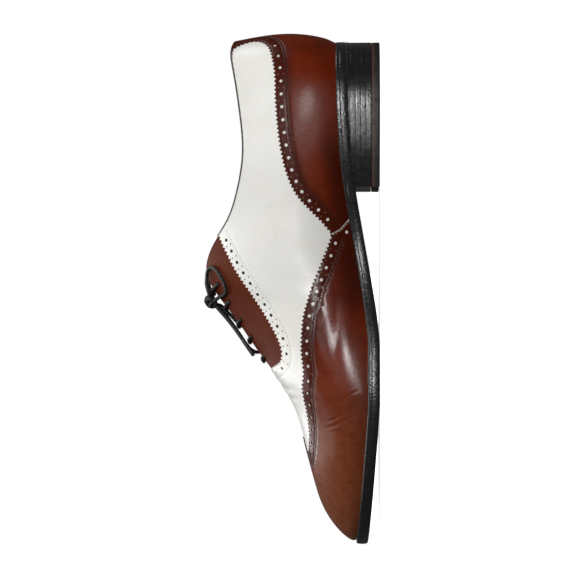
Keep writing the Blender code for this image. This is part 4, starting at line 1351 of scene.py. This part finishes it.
def build_stitches():
    brown, white, grey, cream = Stitching(), Stitching(), Stitching(), Stitching()
    for side in (-1, 1):
        lines = LINES[side]
        for name in ("wing", "counter"):
            for row in BROWN_ROWS:
                brown.row(lines[name], row, BROWN_TOP - 0.16, 1.0, lines[name].length - 0.8)
        white.row(lines["facing"], WHITE_ROWS[0], WHITE_TOP - 0.09, 0.6, lines["facing"].length - 0.1, 2.0, 1.5, 0.17)
        for row in WHITE_ROWS[1:]:
            grey.row(lines["facing"], row, WHITE_TOP - 0.09, 0.6, lines["facing"].length - 0.1, 2.0, 1.5, 0.17)
        cream.row(lines["seam"], 0.9, BROWN_TOP, 0.6, lines["seam"].length - 1.6, 2.0, 1.5, 0.26)
    brown.make("brown_stitches", BROWN_THREAD, "upper")
    white.make("white_stitches", WHITE_THREAD, "upper")
    grey.make("strip_stitches", GREY_THREAD, "upper")
    cream.make("seam_stitches", CREAM_THREAD, "upper")


def build_edges():
    """Binding of the collar and the turned edge of the facings."""
    top = float(FACING_EDGE[0].r)
    r = np.linspace(0, top, 160)
    halves = []
    for side in (1, -1):
        p, n = layer(side, r, np.ones_like(r), np.full(r.shape, -0.15))
        low, _ = layer(side, r, np.full(r.shape, 0.98), np.full(r.shape, -0.15))
        halves.append(p + 0.15 * unit(p - low))
    path = np.concatenate([halves[0][::-1], halves[1][1:]])
    verts, faces, uv = tube(smooth_run(path, 0.7), 0.78, 10)
    smooth_mesh("collar_binding", verts, faces, [BINDING], "upper", uv=uv, sharp=80)
    verts, faces = [], []
    for side in (1, -1):
        r = np.linspace(top, THROAT + 0.05, 90)
        p, n = layer(side, r, np.ones_like(r), np.full(r.shape, -0.85))
        low, _ = layer(side, r, np.full(r.shape, 0.98), np.full(r.shape, -0.85))
        v, f, _ = tube(smooth_run(p - 0.35 * unit(p - low), 0.8), 0.82, 10)
        base = len(verts)
        verts += list(v)
        faces += [[base + i for i in q] for q in f]
    smooth_mesh("facing_edges", verts, faces, [FACING], "upper", sharp=80)


def build_tongue():
    rows = np.linspace(rib_at(132.6), rib_at(209.0), 34)
    across = np.linspace(-1, 1, 23)
    points, faces, kind = [], [], []
    for k, r in enumerate(rows):
        half = 27.0 - 7.0 * k / (len(rows) - 1)
        for a in across:
            for depth in (WALL + TONGUE_GAP, WALL + TONGUE_GAP + TONGUE):
                points.append(under_throat(r, a * half, depth))
    n = len(across)

    def at(i, j, lower):
        return (i * n + j) * 2 + lower

    for i in range(len(rows) - 1):
        for j in range(n - 1):
            faces.append((at(i, j, 0), at(i + 1, j, 0), at(i + 1, j + 1, 0), at(i, j + 1, 0))[::-1])
            faces.append((at(i, j, 1), at(i + 1, j, 1), at(i + 1, j + 1, 1), at(i, j + 1, 1)))
            kind += [0, 1]
        faces.append((at(i, 0, 0), at(i, 0, 1), at(i + 1, 0, 1), at(i + 1, 0, 0))[::-1])
        faces.append((at(i, n - 1, 0), at(i, n - 1, 1), at(i + 1, n - 1, 1), at(i + 1, n - 1, 0)))
        kind += [0, 0]
    for i, flip in ((0, False), (len(rows) - 1, True)):
        for j in range(n - 1):
            f = (at(i, j, 0), at(i, j, 1), at(i, j + 1, 1), at(i, j + 1, 0))
            faces.append(f[::-1] if flip else f)
            kind.append(0)
    smooth_mesh("tongue_leather", points, faces, [TONGUE_LOOK, LINING], "tongue", "tongue", kind=kind)


# Sole and heel
def around_steps(count):
    """Places round the sole's edge: side and rib number, from the heel up the outer side to the toe and back."""
    t = np.linspace(0, 2 * TIP, count, endpoint=False)
    return [(1, float(a)) if a <= TIP else (-1, float(2 * TIP - a)) for a in t]


def edge_rings(section, count, under=UNDER_Z):
    """Rings round the sole: each section point is an inset from the edge and a height above the underside."""
    where = around_steps(count)
    rings = []
    for inset, up in section:
        ring = []
        for side, r in where:
            x, s, _, _ = edge(side, r, inset)
            ring.append((float(x), float(s), float(under(s)) + up))
        rings.append(ring)
    return rings


def build_sole():
    count = 420
    channel = 4.6
    section = [
        (channel + 1.0, 0.0), (channel + 0.55, 0.05), (channel + 0.3, 0.55), (channel - 0.3, 0.55), (channel - 0.55, 0.05),
        (channel - 1.0, 0.0), (1.3, 0.0), (0.82, 0.08), (0.46, 0.40), (0.24, 1.0), (0.10, 1.7), (0.02, 2.5), (0.0, 3.3), (0.02, 4.1), (0.06, 4.48), (0.18, 4.60), (2.0, 4.62),
    ]
    rings = edge_rings(section, count)
    verts, faces = loft(rings)
    kind = [0] * len(faces)
    for i in range(6):
        for k in range(count):
            kind[i * count + k] = 1
    half = count // 2
    for k in range(half):
        a, b = k, k + 1
        c, d = (count - k) % count, (count - k - 1) % count
        f = [q for q in (a, c, d, b)]
        f = [q for i, q in enumerate(f) if q != f[i - 1]]
        if len(set(f)) > 2:
            faces.append(tuple(f))
            kind.append(1)
    smooth_mesh("sole", verts, faces, [EDGE_LOOK, BOTTOM], "outsole", "outsole", kind=kind, sharp=50)

    welt = [
        (2.2, 4.66), (0.19, 4.66), (0.08, 4.78), (0.12, 5.2), (0.21, 5.75), (0.36, 6.25), (0.60, 6.63), (0.95, 6.80), (1.35, 6.82), (1.75, 6.64), (2.15, 6.82),
    ]
    where = around_steps(count)
    rings = []
    for inset, up in welt:
        ring = []
        for side, r in where:
            room = float(WELT_IN(r * side))
            x, s, _, _ = edge(side, r, inset * min(1.0, room / 2.6))
            ring.append((float(x), float(s), float(UNDER_Z(s)) + up))
        rings.append(ring)
    for deeper in (0.2, 1.6):
        ring = []
        for side, r in where:
            x, s, _, _ = foot(side, r, deeper)
            ring.append((float(x), float(s), float(UNDER_Z(s)) + 6.8))
        rings.append(ring)
    verts, faces = loft(rings)
    smooth_mesh("welt_strip", verts, faces, [WELT_LOOK], "welt", "welt", sharp=50)

    # Stitches along the welt and in the channel under the sole.
    top, under = Stitching(), Stitching()
    line = []
    for side in (1, -1):
        r = np.linspace(6.2, TIP, 900)
        line.append((side, r))
    for side, r in line:
        for gather, inset, up, face, length, radius, pitch in (
            (top, 1.75, 6.68, 1.0, 2.6, 0.30, 3.2), (under, channel, 0.42, -1.0, 3.2, 0.34, 4.2),
        ):
            scale = np.minimum(1.0, WELT_IN(r * side) / 2.6) if gather is top else 1.0
            x, s, _, _ = edge(side, r, inset * scale)
            p = np.stack([x, s, UNDER_Z(s) + up], -1)
            run = np.concatenate([[0], np.cumsum(np.linalg.norm(np.diff(p, axis=0), axis=1))])
            d = np.arange(1.5, run[-1], pitch)
            at = np.stack([np.interp(d, run, p[:, i]) for i in range(3)], -1)
            ahead = np.stack([np.interp(d + 0.8, run, p[:, i]) for i in range(3)], -1)
            behind = np.stack([np.interp(d - 0.8, run, p[:, i]) for i in range(3)], -1)
            gather.pills(at, unit(ahead - behind), np.tile([0.0, 0.0, face], (len(d), 1)), length, radius)
    top.make("welt_stitches", BLACK_THREAD, "welt")
    under.make("sole_stitches", PALE_THREAD, "outsole")


def heel_outline(inset, count=120):
    """Closed plan outline of the heel, breast included."""
    front = SECTIONS[0].s + HEEL_LENGTH - inset
    ends = {}
    for side in (-1, 1):
        low, high = 0.0, 9.0
        for _ in range(40):
            mid = (low + high) / 2
            low, high = (mid, high) if edge(side, mid, inset)[1] < front else (low, mid)
        ends[side] = low
    points = []
    for k in range(count + 1):
        a = ends[1] + (-ends[-1] - ends[1]) * k / count
        x, s, _, _ = edge(1 if a >= 0 else -1, abs(a), inset)
        points.append((float(x), float(s)))
    x0, x1 = points[-1][0], points[0][0]
    for k in range(1, 24):
        f = -1 + 2 * k / 24
        points.append((x0 + (x1 - x0) * (f + 1) / 2, front - BREAST_HOLLOW * (1 - f * f)))
    return points


def build_heel():
    def walls(levels):
        """levels: (inset, height or None for the sole's underside)."""
        rings = []
        for inset, z in levels:
            rings.append([(x, s, min(z, float(UNDER_Z(s)) - 0.02)) for x, s in heel_outline(inset)])
        return rings

    lifts = [TOP_LIFT + 0.12]
    step = 3.1
    while lifts[-1] + step < 20:
        lifts.append(lifts[-1] + step)
    levels = []
    for k, z in enumerate(lifts):
        levels += [(0.41, z), (0.37, z + 0.10), (0.36, z + 0.3), (0.36, z + step - 0.3), (0.37, z + step - 0.10), (0.41, z + step - 0.02)]
    rings = walls(levels)
    verts, faces = loft(rings)
    p = np.array(verts)
    faces = [f for f in faces if np.linalg.norm(np.cross(p[f[2]] - p[f[0]], p[f[3]] - p[f[1]])) > 1e-3]
    n = len(rings[0])
    faces.append(tuple(range(n))[::-1])
    used = sorted({i for f in faces for i in f})
    new = {old: i for i, old in enumerate(used)}
    verts, faces = [verts[i] for i in used], [tuple(new[i] for i in f) for f in faces]
    smooth_mesh("heel_lifts", verts, faces, [HEEL], "heel_stack", "heel_stack", sharp=55)

    rings = walls([(6.0, 0.0), (1.0, 0.0), (0.55, 0.10), (0.30, 0.45), (0.24, 1.0), (0.24, TOP_LIFT - 0.6), (0.34, TOP_LIFT - 0.15), (0.7, TOP_LIFT)])
    verts, faces = loft(rings)
    faces.append(tuple(range(n))[::-1])
    faces.append(tuple(range(len(rings) * n - n, len(rings) * n)))
    smooth_mesh("top_lift", verts, faces, [LIFT], "heel_top_lift", "heel_top_lift", sharp=50)

    # Wheeled line between the sole's edge and the heel.
    gather = Stitching()
    outline = np.array(heel_outline(0.24, 420)[:421])
    z = UNDER_Z(outline[:, 1]) + 0.12
    p = np.column_stack([outline, z])
    run = np.concatenate([[0], np.cumsum(np.linalg.norm(np.diff(p, axis=0), axis=1))])
    d = np.arange(0.6, run[-1], 1.35)
    at = np.stack([np.interp(d, run, p[:, i]) for i in range(3)], -1)
    ahead = np.stack([np.interp(d + 0.5, run, p[:, i]) for i in range(3)], -1)
    behind = np.stack([np.interp(d - 0.5, run, p[:, i]) for i in range(3)], -1)
    along = unit(ahead - behind)
    gather.pills(at, along, np.tile([0.0, 0.0, 1.0], (len(d), 1)), 1.0, 0.36)
    gather.make("heel_seat_beads", EDGE_LOOK, "heel_stack")


def build_insole():
    steps = np.linspace(0, TIP, 120)
    across = np.linspace(0, 1, 15)
    rise = np.linspace(0.0, 0.3, 61)
    points, faces = [], []
    for r in steps:
        ends = []
        for side in (-1, 1):
            p, _ = layer(side, np.full(61, r), rise, np.full(61, -0.7 * WALL))
            up = p[:, 2] - foot_z(p[:, 1])
            at = np.array([np.interp(INSOLE_RISE + 0.7, up, p[:, i]) for i in range(2)])
            inside = np.array(foot(side, r, WALL + 0.9)[:2])
            ends.append(at + (inside - at) * smooth_step(r, 12.0, 14.0))
        a, b = ends
        for f in across:
            x, s = a + (b - a) * f
            cup = 0.9 * abs(2 * f - 1) ** 4
            points.append((x, s, float(foot_z(s)) + INSOLE_RISE + cup - 0.2))
    n = len(across)
    for i in range(len(steps) - 1):
        for j in range(n - 1):
            faces.append((i * n + j, i * n + j + 1, (i + 1) * n + j + 1, (i + 1) * n + j))
    smooth_mesh("sock_lining", points, faces, [SOCK], "insole", "insole")


# Lace
def lace_bars():
    verts, faces, uv = [], [], []
    for eyelet in EYELETS:
        far = eyelet_across(eyelet)
        half = []
        for away, up in ((far, -2.4), (far - 0.05, -0.7), (far - 0.7, 0.65), (far - 2.0, 1.02), (0.5 * far, 1.08), (0.22 * far, 1.10)):
            station = eyelet.middle + (eyelet.s - eyelet.middle) * away / far
            half.append((station, away, up))
        path = [over_throat(s, -a, h) for s, a, h in half] + [over_throat(eyelet.middle, 0.0, 1.10)]
        path += [over_throat(s, a, h) for s, a, h in half[::-1]]
        v, f, t = tube(smooth_run(path, 0.5), LACE / 2 - 0.02, 14)
        base = len(verts)
        verts += list(v)
        faces += [[base + i for i in q] for q in f]
        uv += t
    smooth_mesh("lace_bars", verts, faces, [CORD], "lace", *[f"lace_bar_{k + 1}" for k in range(len(EYELETS))], uv=uv, sharp=80)


def lace_bow():
    centre, (across, ahead, up) = knot_frame()
    verts, faces, uv = [], [], []

    def wrap(middle, a, b, wide, high, turns=1.0, drift=None, start=0.0):
        t = start + np.linspace(0, 2 * np.pi * turns, int(60 * turns))
        path = middle + np.cos(t)[:, None] * wide * a + np.sin(t)[:, None] * high * b
        if drift is not None:
            path = path + np.linspace(-0.5, 0.5, len(t))[:, None] * drift
        v, f, u = tube(path, LACE / 2 + 0.05, 14)
        base = len(verts)
        verts.extend(v)
        faces.extend([[base + i for i in q] for q in f])
        uv.extend(u)

    wrap(centre, ahead, up, 3.4, 2.5, 1.10, 1.4 * across, 0.9)
    wrap(centre - 2.3 * across, unit(ahead + 0.30 * across), unit(up - 0.25 * ahead), 3.0, 2.3, 1.06, -1.0 * across, 1.9)
    wrap(centre + 2.3 * across, unit(ahead - 0.30 * across), unit(up + 0.20 * ahead), 3.0, 2.3, 1.06, 1.0 * across, 2.6)
    wrap(centre + 1.2 * ahead - 0.3 * up, across, unit(up + 0.3 * ahead), 4.3, 2.2, 1.05, 0.8 * ahead, 0.4)
    wrap(centre - 1.3 * ahead - 0.4 * up, across, unit(up - 0.3 * ahead), 4.2, 2.1, 1.05, -0.8 * ahead, 3.4)

    def strand(path):
        v, f, u = tube(smooth_run(path, 0.6), LACE / 2, 14)
        base = len(verts)
        verts.extend(v)
        faces.extend([[base + i for i in q] for q in f])
        uv.extend(u)

    # The strands that come up from the top bar, and the bow's own ends inside the knot.
    top = EYELETS[-1]
    for side in (-1, 1):
        station = top.middle + (top.s - top.middle) * 0.55
        strand([
            over_throat(station, side * 0.55 * eyelet_across(top), 1.6),
            over_throat(top.middle - 1.2, side * 2.4, 3.0),
            centre - 1.6 * up + side * 1.2 * across, centre + side * -0.8 * across,
        ])
    for runs, both in ((LOOP_INNER, True), (LOOP_FRONT, True), (END_FRONT, False), (END_OUTER, False)):
        path = bow_run(runs, 1.0)
        for first, second in ((path[0], path[2]), (path[-1], path[-3]))[: 2 if both else 1]:
            way = unit(first - second)
            strand([first + 0.9 * (second - first) / np.linalg.norm(second - first), first, first + 1.4 * way, centre + 0.35 * (first - centre)])
    smooth_mesh("knot", verts, faces, [CORD], "lace", "lace_knot", uv=uv, sharp=80)

    pieces = {}
    for name, runs, closed in (
        ("lace_loop_inner", LOOP_INNER, True), ("lace_loop_front", LOOP_FRONT, True),
        ("lace_end_front", END_FRONT, False), ("lace_end_outer", END_OUTER, False),
    ):
        path = bow_run(runs, 1.0)
        tip = None
        if not closed:
            run = np.concatenate([[0], np.cumsum(np.linalg.norm(np.diff(path, axis=0), axis=1))])
            metal = path[run > run[-1] - 13.0]
            radius = np.full(len(metal), LACE / 2 + 0.10)
            radius[0] -= 0.12
            radius[-1] -= 0.25
            v, f, u = tube(metal, radius, 16)
            tip = smooth_mesh(name + "_tip", v, f, [AGLET], "lace", sharp=60)
        v, f, u = tube(path, LACE / 2, 14)
        obj = smooth_mesh(name.replace("lace_", "cord_"), v, f, [CORD], "lace", name, uv=u, sharp=80)
        line = placed(path)
        length = float(np.linalg.norm(np.diff(line, axis=0), axis=1).sum())
        pieces[name] = length
    return pieces


# Studio
def build_studio():
    mesh = bpy.data.meshes.new("floor")
    rim = [(0.75 * math.cos(a), 0.75 * math.sin(a), 0.0) for a in np.linspace(0, 2 * math.pi, 96, endpoint=False)]
    mesh.from_pydata(rim, [], [tuple(range(len(rim)))])
    floor_look = Look("floor_look", Roughness=0.9, Specular_IOR_Level=0.1, Emission_Color=(1.0, 1.0, 1.0, 1.0))
    floor_look.colour(floor_look.ramp(floor_look.noise(3.0, 2.0), (0.3, (0.90, 0.90, 0.90)), (0.7, (0.92, 0.92, 0.92))))
    away = floor_look.node("ShaderNodeVectorMath", operation="LENGTH")
    floor_look.link(floor_look.place, away.inputs[0])
    floor_look.link(floor_look.values(away.outputs["Value"], 0.64, 1.0, 0.22, 0.45), floor_look.shader.inputs["Emission Strength"])
    mesh.materials.append(floor_look.made)
    floor = bpy.data.objects.new("floor", mesh)
    bpy.context.scene.collection.objects.link(floor)
    floor.visible_diffuse = floor.visible_glossy = False    # a bright sweep that throws no light back up

    bpy.context.scene.view_settings.view_transform = "Standard"
    world = bpy.data.worlds.new("studio")
    bpy.context.scene.world = world
    world.use_nodes = True
    tree = world.node_tree
    ground = tree.nodes["Background"]
    ground.inputs["Color"].default_value = (1.0, 1.0, 1.0, 1.0)
    seen = tree.nodes.new("ShaderNodeLightPath")
    level = tree.nodes.new("ShaderNodeMapRange")
    level.inputs["To Min"].default_value = 0.07
    level.inputs["To Max"].default_value = 1.0
    tree.links.new(seen.outputs["Is Camera Ray"], level.inputs["Value"])
    tree.links.new(level.outputs["Result"], ground.inputs["Strength"])

    def area(name, where, to, size, power, colour=(1, 1, 1)):
        data = bpy.data.lights.new(name, "AREA")
        data.shape = "RECTANGLE"
        data.size, data.size_y = size
        data.energy = power
        data.color = colour
        lamp = bpy.data.objects.new(name, data)
        lamp.location = where
        lamp.rotation_euler = (Vector(to) - Vector(where)).to_track_quat("-Z", "Y").to_euler()
        bpy.context.scene.collection.objects.link(lamp)
        return lamp

    area("key", (-1.04, -0.29, 0.23), (0, -0.01, 0.04), (0.20, 0.18), 5.2)
    area("near", (-1.09, -0.08, 0.06), (0, 0.0, 0.05), (0.24, 0.12), 0.7)
    area("fill", (-1.00, 0.22, 0.40), (0, 0.02, 0.05), (0.70, 0.50), 0.85).visible_glossy = False
    area("heel_end", (0.0, -1.1, 0.75), (0, -0.1, 0.04), (0.60, 0.60), 5.0)
    area("high", (-0.90, -0.26, 0.66), (0, 0.0, 0.04), (0.40, 0.20), 0.6)
    area("top", (0.05, 0.0, 1.3), (0, 0.0, 0.0), (1.3, 1.3), 13.5)
    area("far", (0.75, 0.15, 0.95), (0, 0.0, 0.04), (0.60, 0.35), 3.8)

    camera = bpy.data.cameras.new("camera")
    eye = Vector((-0.95 - 0.005, -0.012, 0.012))
    target = Vector((0.0, 0.0, 0.054))
    span = 0.352
    distance = (target - eye).length
    camera.sensor_width = 36.0
    camera.lens = 18.0 / (span / 2 / distance)
    camera.clip_start = 0.01
    view = (target - eye).normalized()
    above = Vector((0.0, -1.0, 0.0))
    right = view.cross(above).normalized()
    above = right.cross(view)
    holder = bpy.data.objects.new("camera", camera)
    holder.matrix_world = Matrix.Translation(eye) @ Matrix((right, above, -view)).transposed().to_4x4()
    bpy.context.scene.collection.objects.link(holder)
    bpy.context.scene.camera = holder


build_upper()
build_stitches()
build_edges()
build_tongue()
build_sole()
build_heel()
build_insole()
lace_bars()
lace_bow()
build_studio()
